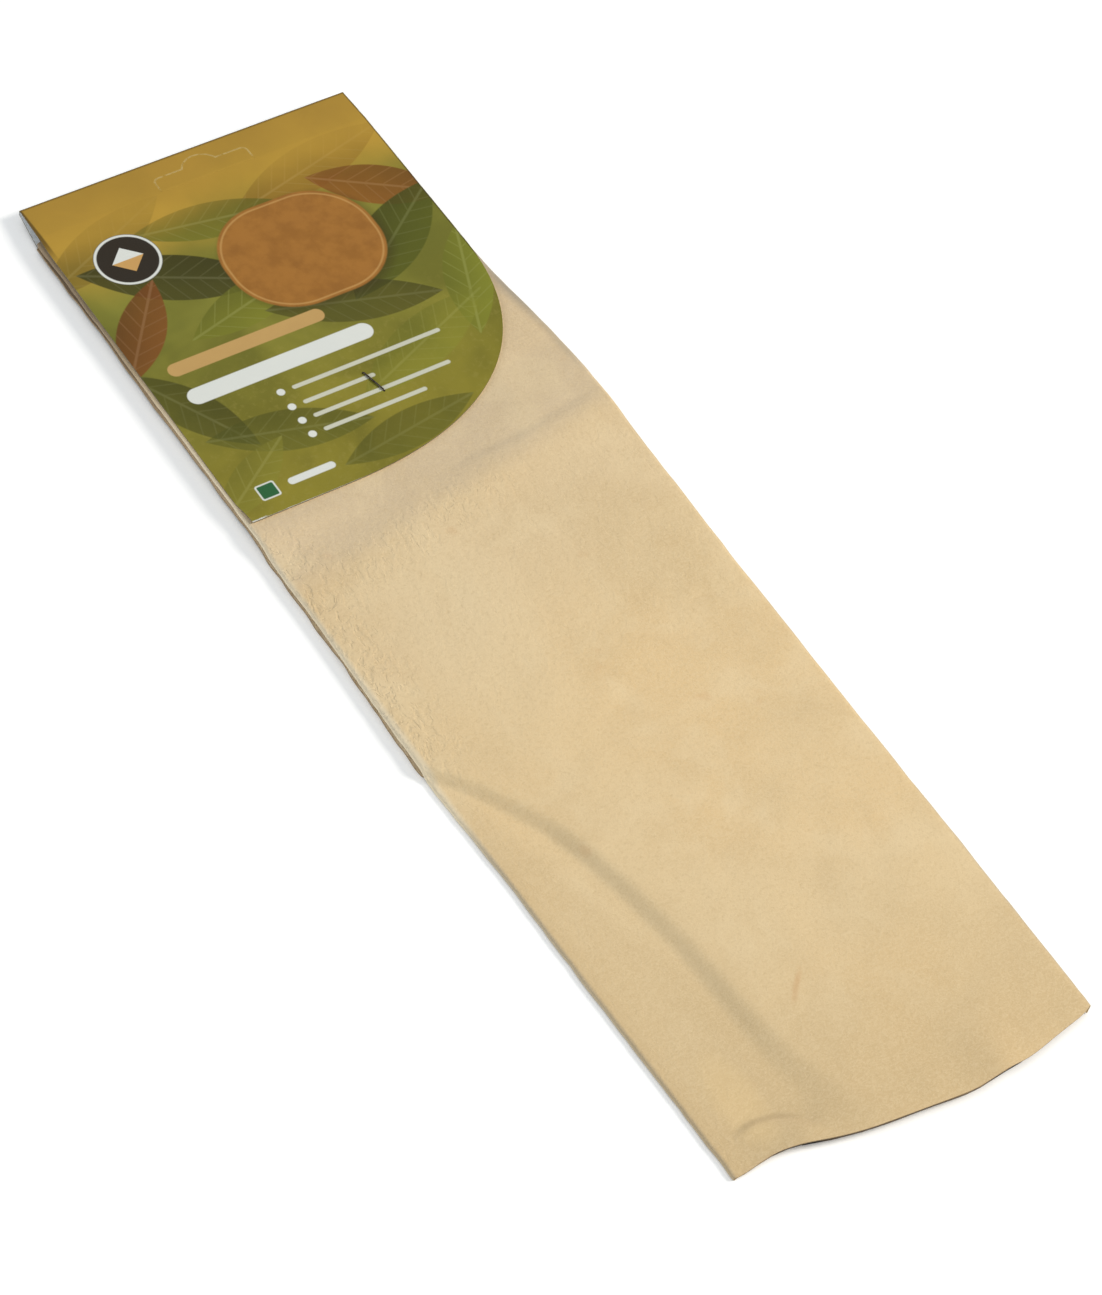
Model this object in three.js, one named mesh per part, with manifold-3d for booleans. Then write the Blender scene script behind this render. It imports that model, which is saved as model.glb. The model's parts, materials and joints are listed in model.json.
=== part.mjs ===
import * as THREE from "three";
import { mergeVertices } from "three/addons/utils/BufferGeometryUtils.js";
import Module from "manifold-3d";

// A folded chamois skin held in a folded paperboard header card by one staple, lying on its back.
// Lengths are in millimetres. X runs across the strip, Y towards the card's crease, Z up.
// "Down" is measured from the card's crease towards the free end of the skin, along -Y.

const card = {
  width: 116, // across the strip
  height: 142, // crease to the lower edge of each panel
  board: 0.4, // paperboard thickness
  creaseRise: 3.6, // middle of the crease above the resting surface
  creaseRadius: 0.45, // radius of the board's middle line round the crease
  cornerAcross: 86, // rounded lower right corner, along the lower edge
  cornerDown: 71, // rounded lower right corner, along the side edge
  bendClear: 1, // each panel leaves its plane this far above the skin
};

const slot = {
  width: 33, // end to end
  top: 7.6, // upper line below the crease
  hinge: 13.5, // uncut lower line below the crease
  offCentre: 1, // towards the right edge
  endRadius: 2.2, // rounded upper corners
  humpRadius: 6.6, // round peg recess
  humpCentre: 10.4, // below the crease
  cut: 0.25, // gap that the die leaves round a tab
};

const skin = {
  thickness: 0.7,
  layerGap: 0.15, // between folded layers
  width: 121, // folded
  top: 14.8, // upper end below the crease
  length: 378.5, // upper end to the lower left corner
  tipDrop: 8.5, // how far the convex cut end passes that corner
  taper: 1.6, // each side draws in by this much at the cut end
  rightPinch: 1.6, // the right side draws in by this much beside the card's straight edge
  rightBulge: 2.8, // past the card's rounded corner
  leftBulge: 1.8, // where the long furrow starts
  bulgeReach: 27, // half length of a bulge
  openEdgeSet: 1.2, // each open edge lies this far inside the layer below
  innerEndSet: 1.1, // each hidden layer ends this far short of the one outside it
};

// The skin lies flat in the card, rises to a ridge below it, and stays loosely raised to the cut end.
const relief = {
  ridge: 3.4, // rise of the top layer at the ridge
  endRise: 1.3, // rise left at the cut end
  ridgeBelow: 18, // ridge below the card's lower edge, on the middle line
  ridgeSlant: 20, // the ridge climbs by this much from side to side
  rampStart: 2, // the rise starts this far below the card's edge
  furrowStart: 241, // where the long furrow leaves the left edge
  furrowEnd: 386, // where it fades out
  furrowDepth: 2, // drop from the raised side into the furrow
  furrowWidth: 7,
  rollRise: 0.9, // the roll between the furrow and the left edge
  settle: 14, // length over which the skin comes down off the back panel
};

const staple = {
  wire: 0.5, // diameter
  crown: 9.8, // outside width
  aboveEdge: 31, // middle of the crown above the card's lower edge
  across: 2, // middle of the crown from the card's middle line
  turn: 12, // degrees from the length direction
  bend: 0.75, // radius of the wire's middle line at each corner
  clinch: 3.1, // length of each leg folded under the back panel
  hole: 0.15, // gap round each leg
};

const seatGap = 0.1; // between the staple and the board it holds
const faceGap = 0.2; // between the board and the skin
const overrun = 2; // every cutting solid passes its target by this much

const layerCount = 4;
const wireSides = 8;
const stapleSteps = 64;
const cornerSteps = 16;
const humpSteps = 12;
const creaseSteps = 5;
const legHoleSides = 5;
const cornerPower = 2.4; // above 2, the card's rounded corner is fuller than an ellipse

const layerPitch = skin.thickness + skin.layerGap;
const stackHeight = layerCount * layerPitch - skin.layerGap;
const backPanelZ = staple.wire + seatGap; // underside of the back panel
const stackZ = backPanelZ + card.board + faceGap; // underside of the skin between the panels
const frontPanelZ = stackZ + stackHeight + faceGap; // underside of the front panel
const cardTopZ = frontPanelZ + card.board;
const panelBend = skin.top - card.bendClear; // each panel leaves its plane here and runs to the crease
const cornerStart = card.height - card.cornerDown; // the rounded corner leaves the side edge here
const looseStart = card.height + relief.rampStart;
const ridgeMiddle = card.height + relief.ridgeBelow;
const ridgeLow = ridgeMiddle + relief.ridgeSlant / 2; // the ridge's lower, left end
const skinEnd = skin.top + skin.length;

const wasm = await Module();
wasm.setup();

// Closed geometry to a solid, and back
function toSolid(geometry) {
  const bare = geometry.index ? geometry.toNonIndexed() : geometry.clone();
  bare.deleteAttribute("normal");
  bare.deleteAttribute("uv");
  const merged = mergeVertices(bare);
  const mesh = new wasm.Mesh({
    numProp: 3,
    vertProperties: new Float32Array(merged.attributes.position.array),
    triVerts: new Uint32Array(merged.index.array),
  });
  return new wasm.Manifold(mesh);
}

function toGeometry(solid) {
  const mesh = solid.getMesh();
  const geometry = new THREE.BufferGeometry();
  geometry.setAttribute("position", new THREE.BufferAttribute(new Float32Array(mesh.vertProperties), 3));
  geometry.setIndex(new THREE.BufferAttribute(new Uint32Array(mesh.triVerts), 1));
  geometry.computeVertexNormals();
  return geometry;
}

// A prism over a plan outline given in X and Y, from one height to another
function prism(shape, low, high, curveSegments = 1) {
  const settings = { depth: high - low, bevelEnabled: false, curveSegments };
  const geometry = new THREE.ExtrudeGeometry(shape, settings);
  return toSolid(geometry.translate(0, 0, low));
}

function smoothStep(value) {
  return THREE.MathUtils.smoothstep(value, 0, 1);
}

// Header card

// Middle line of the board's section, from the front panel's lower edge round the crease to the back panel's
function cardMiddleLine() {
  const half = card.board / 2;
  const creaseDown = half + card.creaseRadius;
  const line = [
    [card.height, frontPanelZ + half],
    [panelBend, frontPanelZ + half],
  ];
  for (let i = 0; i <= creaseSteps; i += 1) {
    const angle = Math.PI / 2 + (i / creaseSteps) * Math.PI;
    const down = creaseDown + card.creaseRadius * Math.cos(angle);
    line.push([down, card.creaseRise + card.creaseRadius * Math.sin(angle)]);
  }
  line.push([panelBend, backPanelZ + half]);
  line.push([card.height, backPanelZ + half]);
  return line.map(([down, z]) => new THREE.Vector2(-down, z));
}

// Moves a line sideways by a distance, keeping corners sharp
function offsetLine(line, distance) {
  return line.map((point, i) => {
    const before = line[Math.max(i - 1, 0)];
    const after = line[Math.min(i + 1, line.length - 1)];
    const into = point.clone().sub(i > 0 ? before : after).normalize();
    const out = after.clone().sub(i < line.length - 1 ? point : before).normalize();
    if (i === 0) into.copy(out);
    if (i === line.length - 1) out.copy(into);
    const normal = new THREE.Vector2(-into.y - out.y, into.x + out.x).normalize();
    const side = new THREE.Vector2(-into.y, into.x);
    return point.clone().addScaledVector(normal, distance / normal.dot(side));
  });
}

function foldedBoard() {
  const line = cardMiddleLine();
  const outer = offsetLine(line, -card.board / 2);
  const inner = offsetLine(line, card.board / 2).reverse();
  const shape = new THREE.Shape([...outer, ...inner]);
  const geometry = new THREE.ExtrudeGeometry(shape, { depth: card.width, bevelEnabled: false });
  // The section's own axes become Y and Z, and its depth becomes X
  const turn = new THREE.Matrix4().makeBasis(
    new THREE.Vector3(0, 1, 0),
    new THREE.Vector3(0, 0, 1),
    new THREE.Vector3(1, 0, 0),
  );
  geometry.applyMatrix4(turn);
  return toSolid(geometry.translate(-card.width / 2, 0, 0));
}

function cornerOffcut() {
  const right = card.width / 2;
  const start = right - card.cornerAcross;
  const shape = new THREE.Shape();
  shape.moveTo(right + overrun, -card.height - overrun);
  shape.lineTo(right + overrun, -cornerStart);
  for (let i = 0; i <= cornerSteps; i += 1) {
    const angle = (i / cornerSteps) * (Math.PI / 2);
    const across = card.cornerAcross * Math.max(Math.cos(angle), 0) ** (2 / cornerPower);
    const down = cornerStart + card.cornerDown * Math.sin(angle) ** (2 / cornerPower);
    shape.lineTo(start + across, -down);
  }
  shape.lineTo(start, -card.height - overrun);
  return prism(shape, -overrun, cardTopZ + overrun);
}

// Plan outline of a hang tab, or of the opening round it when grown by the die gap
function tabOutline(grow) {
  const half = slot.width / 2 + grow;
  const top = slot.top - grow;
  const low = slot.hinge + grow;
  const humpRadius = slot.humpRadius + grow;
  const endRadius = slot.endRadius + grow;
  const rise = slot.humpCentre - top;
  const humpAngle = Math.asin(rise / humpRadius);
  const shape = new THREE.Shape();
  shape.moveTo(slot.offCentre - half, -low);
  shape.lineTo(slot.offCentre + half, -low);
  shape.absarc(slot.offCentre + half - endRadius, -top - endRadius, endRadius, 0, Math.PI / 2, false);
  shape.absarc(slot.offCentre, -slot.humpCentre, humpRadius, humpAngle, Math.PI - humpAngle, false);
  shape.absarc(slot.offCentre - half + endRadius, -top - endRadius, endRadius, Math.PI / 2, Math.PI, false);
  return shape;
}

function tabPrism(grow, low, high) {
  return prism(tabOutline(grow), low, high, humpSteps);
}

// Staple

function staplePlace(solid) {
  return solid.rotate([0, 0, staple.turn]).translate([staple.across, staple.aboveEdge - card.height, 0]);
}

// Middle line of the wire, bent in the upright plane along the crown
function stapleLine() {
  const half = staple.crown / 2 - staple.wire / 2;
  const high = cardTopZ + seatGap + staple.wire / 2;
  const low = staple.wire / 2;
  const bend = staple.bend;
  const at = (along, z) => new THREE.Vector3(0, along, z);
  const path = new THREE.CurvePath();
  path.add(new THREE.LineCurve3(at(half - bend - staple.clinch, low), at(half - bend, low)));
  path.add(new THREE.QuadraticBezierCurve3(at(half - bend, low), at(half, low), at(half, low + bend)));
  path.add(new THREE.LineCurve3(at(half, low + bend), at(half, high - bend)));
  path.add(new THREE.QuadraticBezierCurve3(at(half, high - bend), at(half, high), at(half - bend, high)));
  path.add(new THREE.LineCurve3(at(half - bend, high), at(bend - half, high)));
  path.add(new THREE.QuadraticBezierCurve3(at(bend - half, high), at(-half, high), at(-half, high - bend)));
  path.add(new THREE.LineCurve3(at(-half, high - bend), at(-half, low + bend)));
  path.add(new THREE.QuadraticBezierCurve3(at(-half, low + bend), at(-half, low), at(bend - half, low)));
  path.add(new THREE.LineCurve3(at(bend - half, low), at(bend - half + staple.clinch, low)));
  return path;
}

function stapleSolid() {
  const section = new THREE.Shape();
  for (let i = 0; i < wireSides; i += 1) {
    const angle = ((i + 1 / 2) / wireSides) * Math.PI * 2;
    const x = (staple.wire / 2) * Math.cos(angle);
    const y = (staple.wire / 2) * Math.sin(angle);
    if (i === 0) section.moveTo(x, y);
    else section.lineTo(x, y);
  }
  const settings = { steps: stapleSteps, bevelEnabled: false, extrudePath: stapleLine() };
  return staplePlace(toSolid(new THREE.ExtrudeGeometry(section, settings)));
}

// The two upright holes that the legs pass through
function legHoles() {
  const radius = staple.wire / 2 + staple.hole;
  const offset = staple.crown / 2 - staple.wire / 2;
  const height = cardTopZ + 2 * overrun;
  const holes = [-offset, offset].map((along) => {
    const geometry = new THREE.CylinderGeometry(radius, radius, height, legHoleSides);
    geometry.rotateX(Math.PI / 2);
    return toSolid(geometry.translate(0, along, height / 2 - overrun));
  });
  return staplePlace(holes[0].add(holes[1]));
}

// Skin

// Columns across a layer from its left edge, 0, to its right edge, 1, closer where the furrow runs
const columnShares = [0, 0.08, 0.165, 0.25, 0.335, 0.55, 0.775, 1];
const hiddenColumnShares = [0, 0.165, 0.335, 0.55, 0.775, 1];
// How much of the top layer's rise each layer takes, from the bottom one up
const layerRiseShares = [0, 0.14, 0.3, 1];
// How far the cut end passes the lower left corner at those columns
const endDropShares = [0, -0.12, -0.1, 0.2, 0.5, 1, 0.82, 0.27];
// The furrow's way across at even steps from its start to its end, of the strip's half width
const furrowShares = [-1, -0.76, -0.62, -0.54, -0.49, -0.43, -0.34];

const pressedRows = 1;
const cornerRows = 3;
const rampRows = 2;
const looseRows = 11;
const rightFoldSteps = 4;
const leftFoldSteps = 3;
const rightFoldReach = 2 * layerPitch; // how far the outer fold runs past the flat of its layers
const innerFoldReach = layerPitch / 2;
const leftFoldReach = layerPitch;

// A value from a list at even places from 0 to 1, joined by straight lines
function fromList(values, place) {
  const steps = values.length - 1;
  const step = THREE.MathUtils.clamp(Math.floor(place * steps), 0, steps - 1);
  const share = THREE.MathUtils.clamp(place * steps - step, 0, 1);
  return THREE.MathUtils.lerp(values[step], values[step + 1], share);
}

function bulge(down, centre) {
  const share = (down - centre) / skin.bulgeReach;
  return Math.exp(-share * share);
}

function drawnIn(down) {
  return skin.taper * smoothStep((down - card.height) / (skinEnd - card.height));
}

function leftEdge(down) {
  return drawnIn(down) - skin.width / 2 - skin.leftBulge * bulge(down, relief.furrowStart);
}

function rightEdge(down) {
  const pinch = skin.rightPinch * (1 - smoothStep((down - cornerStart) / skin.bulgeReach));
  return skin.width / 2 + skin.rightBulge * bulge(down, card.height) - pinch - drawnIn(down);
}

// Fall of the top layer into the long furrow and beside it, towards the left edge
function furrowDent(x, down) {
  const run = (down - relief.furrowStart) / (relief.furrowEnd - relief.furrowStart);
  if (run < 0 || run > 1) return 0;
  const left = leftEdge(down);
  const furrowX = -left * fromList(furrowShares, run);
  const fade = smoothStep(run * furrowShares.length) * smoothStep((1 - run) * 2);
  const side = smoothStep((furrowX + relief.furrowWidth / 2 - x) / relief.furrowWidth);
  const roll = Math.sin(Math.PI * THREE.MathUtils.clamp((furrowX - x) / (furrowX - left), 0, 1) || 0);
  return fade * (relief.furrowDepth * side - relief.rollRise * roll);
}

// Rise of the top layer above its place in the pressed stack
function rise(x, down) {
  const ridgeDown = ridgeMiddle - (relief.ridgeSlant * x) / skin.width;
  const climb = THREE.MathUtils.clamp((down - looseStart) / (ridgeDown - looseStart), 0, 1);
  const fall = THREE.MathUtils.clamp((down - ridgeDown) / (skinEnd - ridgeDown), 0, 1);
  const crest = THREE.MathUtils.lerp(relief.ridge, relief.endRise, fall);
  return climb * Math.max(crest - furrowDent(x, down), 0);
}

// Underside of the skin: on the back panel inside the card, and on the resting surface below it
function floorZ(down) {
  return stackZ * (1 - smoothStep((down - looseStart) / relief.settle));
}

// Middle line of the skin's section at a place down the strip. It runs from the open left edge of the bottom
// layer round the right side to the top layer, round the left side to the third, and inside to the second.
function skinSection(down) {
  const left = leftEdge(down);
  const right = rightEdge(down);
  const heightAt = (layer, x) => {
    const pressed = floorZ(down) + skin.thickness / 2 + layer * layerPitch;
    return pressed + layerRiseShares[layer] * rise(x, down);
  };
  const flatRight = right - skin.thickness / 2 - rightFoldReach;
  const flatLeft = left + skin.thickness / 2 + leftFoldReach;
  const openLow = left + skin.openEdgeSet;
  const openHigh = openLow + skin.openEdgeSet;
  const points = [];
  const add = (layer, x, z) => points.push({ layer, x, z });
  const layerLine = (layer, from, to, shares) => {
    shares.forEach((share) => {
      const x = THREE.MathUtils.lerp(from, to, share);
      add(layer, x, heightAt(layer, x));
    });
  };
  const fold = (layer, x, reach, start, end, steps) => {
    for (let i = 1; i < steps; i += 1) {
      const angle = Math.PI * (i / steps - 1 / 2);
      add(layer, x + reach * Math.cos(angle), (start + end + (end - start) * Math.sin(angle)) / 2);
    }
  };
  layerLine(0, openLow, flatRight, [0, 1 / 2, 1]);
  fold(3, flatRight, rightFoldReach, heightAt(0, flatRight), heightAt(3, flatRight), rightFoldSteps);
  layerLine(3, flatLeft, flatRight, [...columnShares].reverse());
  fold(3, flatLeft, -leftFoldReach, heightAt(3, flatLeft), heightAt(2, flatLeft), leftFoldSteps);
  layerLine(2, flatLeft, flatRight, hiddenColumnShares);
  fold(2, flatRight, innerFoldReach, heightAt(2, flatRight), heightAt(1, flatRight), leftFoldSteps);
  layerLine(1, openHigh, flatRight, [...hiddenColumnShares].reverse());
  return { left, right, points };
}

// Rows down the strip: in the card, beside its rounded corner, up the ramp and along the loose length
function skinRows() {
  const rows = [skin.top];
  const addRows = (from, to, count) => {
    for (let i = 1; i <= count; i += 1) rows.push(THREE.MathUtils.lerp(from, to, i / count));
  };
  addRows(skin.top, cornerStart, pressedRows);
  addRows(cornerStart, looseStart, cornerRows);
  addRows(looseStart, ridgeLow, rampRows);
  addRows(ridgeLow, skinEnd, looseRows);
  return rows;
}

// How far a point of the loose length is drawn down the strip, so that the cut end is convex
function endDrop(point, section, down) {
  const share = THREE.MathUtils.clamp((down - ridgeLow) / (skinEnd - ridgeLow), 0, 1);
  const across = (point.x - section.left) / (section.right - section.left);
  const hidden = (layerCount - 1 - point.layer) * skin.innerEndSet;
  const column = columnShares.findIndex((place, i) => i > 0 && across <= place);
  const i = column < 0 ? columnShares.length - 1 : column;
  const span = columnShares[i] - columnShares[i - 1];
  const within = THREE.MathUtils.clamp((across - columnShares[i - 1]) / span, 0, 1);
  const drop = THREE.MathUtils.lerp(endDropShares[i - 1], endDropShares[i], within);
  return share * share * (skin.tipDrop * drop - hidden);
}

function skinSolid() {
  const positions = [];
  const faces = [];
  const rows = skinRows();
  let ring = 0;
  rows.forEach((down) => {
    const section = skinSection(down);
    const line = section.points.map((point) => new THREE.Vector2(point.x, point.z));
    const below = offsetLine(line, -skin.thickness / 2);
    const above = offsetLine(line, skin.thickness / 2);
    const drops = section.points.map((point) => endDrop(point, section, down));
    below.forEach((point, i) => positions.push(point.x, -(down + drops[i]), point.y));
    for (let i = line.length - 1; i >= 0; i -= 1) positions.push(above[i].x, -(down + drops[i]), above[i].y);
    ring = 2 * line.length;
  });
  for (let row = 0; row < rows.length - 1; row += 1) {
    for (let i = 0; i < ring; i += 1) {
      const a = row * ring + i;
      const b = row * ring + ((i + 1) % ring);
      faces.push(a, b, a + ring);
      faces.push(b, b + ring, a + ring);
    }
  }
  const last = (rows.length - 1) * ring;
  for (let i = 0; i < ring / 2 - 1; i += 1) {
    const far = ring - 1 - i;
    faces.push(i, far, i + 1);
    faces.push(i + 1, far, far - 1);
    faces.push(last + i, last + i + 1, last + far);
    faces.push(last + i + 1, last + far - 1, last + far);
  }
  const geometry = new THREE.BufferGeometry();
  geometry.setAttribute("position", new THREE.Float32BufferAttribute(positions, 3));
  geometry.setIndex(faces);
  return toSolid(geometry);
}

// Assembly

const paints = {
  board: new THREE.MeshStandardMaterial({ color: 0x7f7a2c, roughness: 0.45, metalness: 0 }),
  skin: new THREE.MeshStandardMaterial({ color: 0xe0c696, roughness: 0.95, metalness: 0 }),
  steel: new THREE.MeshStandardMaterial({ color: 0x8d8f92, roughness: 0.35, metalness: 1 }),
};

function namedMesh(name, solid, material, origin = new THREE.Vector3()) {
  const geometry = toGeometry(solid).translate(-origin.x, -origin.y, -origin.z);
  const mesh = new THREE.Mesh(geometry, material);
  mesh.name = name;
  mesh.position.copy(origin);
  return mesh;
}

// Middle of the board where a tab is left uncut, on the front or back panel's run to the crease
function tabHinge(panelZ, side) {
  const creaseDown = card.board / 2 + card.creaseRadius;
  const creaseZ = card.creaseRise + side * card.creaseRadius;
  const share = (slot.hinge - creaseDown) / (panelBend - creaseDown);
  const z = THREE.MathUtils.lerp(creaseZ, panelZ + card.board / 2, share);
  return new THREE.Vector3(slot.offCentre, -slot.hinge, z);
}

const board = foldedBoard();
const holes = legHoles();
const opening = tabPrism(slot.cut, -overrun, cardTopZ + overrun);
const cutBoard = board.subtract(cornerOffcut()).subtract(opening).subtract(holes);
const frontTab = board.intersect(tabPrism(0, card.creaseRise, cardTopZ + overrun));
const backTab = board.intersect(tabPrism(0, -overrun, card.creaseRise));

const strip = new THREE.Group();
strip.add(namedMesh("header_card", cutBoard, paints.board));
strip.add(namedMesh("chamois_skin", skinSolid().subtract(holes), paints.skin));
strip.add(namedMesh("staple", stapleSolid(), paints.steel));
strip.add(namedMesh("front_hang_tab", frontTab, paints.board, tabHinge(frontPanelZ, 1)));
strip.add(namedMesh("back_hang_tab", backTab, paints.board, tabHinge(backPanelZ, -1)));

// The finished part stands with the middle of its base at the origin
const extent = new THREE.Box3().setFromObject(strip);
const centre = extent.getCenter(new THREE.Vector3());
strip.position.set(-centre.x, -centre.y, -extent.min.z);

const part = new THREE.Group();
part.add(strip);

export default part;
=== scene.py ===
import json
import math

import bmesh
import bpy
import numpy as np
from mathutils import Matrix, Vector

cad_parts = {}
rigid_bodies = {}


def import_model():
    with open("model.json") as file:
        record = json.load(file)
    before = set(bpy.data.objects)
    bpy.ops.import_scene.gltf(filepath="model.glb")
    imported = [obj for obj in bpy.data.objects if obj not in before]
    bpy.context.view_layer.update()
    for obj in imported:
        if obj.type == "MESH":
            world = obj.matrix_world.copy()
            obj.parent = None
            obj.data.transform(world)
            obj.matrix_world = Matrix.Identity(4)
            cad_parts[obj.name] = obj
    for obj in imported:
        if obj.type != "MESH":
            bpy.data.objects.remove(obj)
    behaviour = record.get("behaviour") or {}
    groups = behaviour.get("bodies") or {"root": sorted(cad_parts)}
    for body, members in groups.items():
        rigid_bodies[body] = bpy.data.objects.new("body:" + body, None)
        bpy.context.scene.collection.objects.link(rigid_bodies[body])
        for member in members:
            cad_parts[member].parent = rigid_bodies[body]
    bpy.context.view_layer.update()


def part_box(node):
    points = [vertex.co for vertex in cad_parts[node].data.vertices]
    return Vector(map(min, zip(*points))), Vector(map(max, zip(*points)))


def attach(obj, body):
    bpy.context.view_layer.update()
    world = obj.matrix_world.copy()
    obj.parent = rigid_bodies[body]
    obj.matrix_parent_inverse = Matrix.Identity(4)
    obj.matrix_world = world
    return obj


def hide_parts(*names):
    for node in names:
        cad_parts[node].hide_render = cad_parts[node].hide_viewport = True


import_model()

# Lengths are in millimetres here: x from the card's middle line, down from its crease towards the free end
# of the skin, z up from the floor. toFrame() turns such places into the frame's metres.
millimetre = 0.001
cardLow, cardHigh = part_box("header_card")
skinLow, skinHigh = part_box("chamois_skin")
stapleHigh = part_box("staple")[1]
middleX = (cardLow.x + cardHigh.x) / 2
creaseY = cardHigh.y
cardHalf = (cardHigh.x - cardLow.x) / 2 / millimetre
cardHeight = (cardHigh.y - cardLow.y) / millimetre
cardTop = cardHigh.z / millimetre
cardUnder = cardLow.z / millimetre


def toFrame(x, down, z):
    x, down, z = np.broadcast_arrays(x, down, z)
    places = [middleX + x * millimetre, creaseY - down * millimetre, z * millimetre]
    return np.stack(places, axis=-1).reshape(-1, 3)


def softStep(value):
    value = np.clip(value, 0, 1)
    return value * value * (3 - 2 * value)


def softNoise(x, y, size, seed):  # smooth random field from -1 to 1 with bumps about size across
    cells = 128
    lattice = np.random.default_rng(seed).uniform(-1, 1, (cells, cells))
    u, v = np.broadcast_arrays(x / size + cells, y / size + cells)
    i, j = np.floor(u).astype(int), np.floor(v).astype(int)
    across, along = softStep(u - i), softStep(v - j)

    def row(line):
        near, far = lattice[i % cells, line % cells], lattice[(i + 1) % cells, line % cells]
        return near * (1 - across) + far * across

    return row(j) * (1 - along) + row(j + 1) * along


def addObject(name, data):
    added = bpy.data.objects.new(name, data)
    bpy.context.scene.collection.objects.link(added)
    return added


def newPiece(name, places, faces):
    mesh = bpy.data.meshes.new(name)
    mesh.from_pydata(places.tolist(), [], faces)
    mesh.update()
    return addObject(name, mesh)


def hill(value, centre, reach):  # 1 at the centre, falling softly away on both sides
    return np.exp(-(((value - centre) / reach) ** 2))


def gridFaces(index):  # four-sided faces among rows of vertex numbers
    corners = [index[:-1, :-1], index[:-1, 1:], index[1:, 1:], index[1:, :-1]]
    return np.stack(corners, axis=-1).reshape(-1, 4).tolist()


def finalMesh(item):  # a new mesh with the object's curve or modifiers worked out
    graph = bpy.context.evaluated_depsgraph_get()
    return bpy.data.meshes.new_from_object(item.evaluated_get(graph))


def applyModifiers(piece):
    made = finalMesh(piece)
    piece.modifiers.clear()
    worn, piece.data = piece.data, made
    bpy.data.meshes.remove(worn)
    made.name = piece.name


def display(red, green, blue):  # a display colour, 0 to 255, as the linear colour that shaders take
    def toLinear(value):
        value /= 255
        return value / 12.92 if value <= 0.04045 else ((value + 0.055) / 1.055) ** 2.4
    return (toLinear(red), toLinear(green), toLinear(blue), 1.0)


# Camera, floor and light

view = {
    "behind": (-509.6, 811.6, 964.9),  # x, down and z of the camera
    "aim": (-3.1, 218.8, 0.0),  # x, down and z of the point in the middle of the picture
    "roll": 9.87,  # degrees, the picture's right side tips up
    "focal": 4298,  # in pixels of the picture
    "picture": (1102, 1295),
    "sensor": 36,
    "nearest": 0.01,  # metres
    "farthest": 50,
}


def addCamera():
    data = bpy.data.cameras.new("photoCamera")
    data.sensor_width = view["sensor"]
    data.lens = view["focal"] / max(view["picture"]) * data.sensor_width
    data.clip_start, data.clip_end = view["nearest"], view["farthest"]
    camera = addObject("photoCamera", data)
    spot = Vector(toFrame(*view["behind"])[0])
    aim = Vector(toFrame(*view["aim"])[0])
    turn = (aim - spot).to_track_quat("-Z", "Y").to_matrix().to_4x4()
    roll = Matrix.Rotation(math.radians(view["roll"]), 4, "Z")
    camera.matrix_world = Matrix.Translation(spot) @ turn @ roll
    bpy.context.scene.camera = camera


stage = {
    "floorSize": 8.0,  # metres
    "floorColour": (228, 228, 226),
    "floorMottle": 0.985,  # the floor's darker patches have this share of its colour
    "floorLift": 0.55,  # added for the camera alone, so that the open floor reads as white
    "farLift": 1.1,  # the same far from the pack, where the lamps give less
    "farFrom": (0.5, 2.5),  # metres from the pack, where the one turns into the other
    "contactReach": 0.005,  # the added light fades this close to the pack, in metres
    "worldColour": (229, 236, 246),
    "worldStrength": 0.35,
}

# Direction from the skin's middle towards the lamp, metres away, size in metres, watts and colour
lamps = {
    "keyLamp": ((0.74, -0.38, 0.52), 3.4, 1.3, 118, (1.0, 0.965, 0.91)),
    "fillLamp": ((-0.95, 0.05, 0.24), 2.4, 1.8, 34, (0.9, 0.95, 1.0)),
}


def addLamp(name, towards, away, size, power, colour):
    data = bpy.data.lights.new(name, "AREA")
    data.shape = "DISK"
    data.size = size
    data.energy = power
    data.color = colour
    lamp = addObject(name, data)
    aim = (skinLow + skinHigh) / 2
    lamp.location = aim + Vector(towards).normalized() * away
    lamp.rotation_euler = (aim - lamp.location).to_track_quat("-Z", "Y").to_euler()


# Short forms for the nodes of one material or one group

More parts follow.
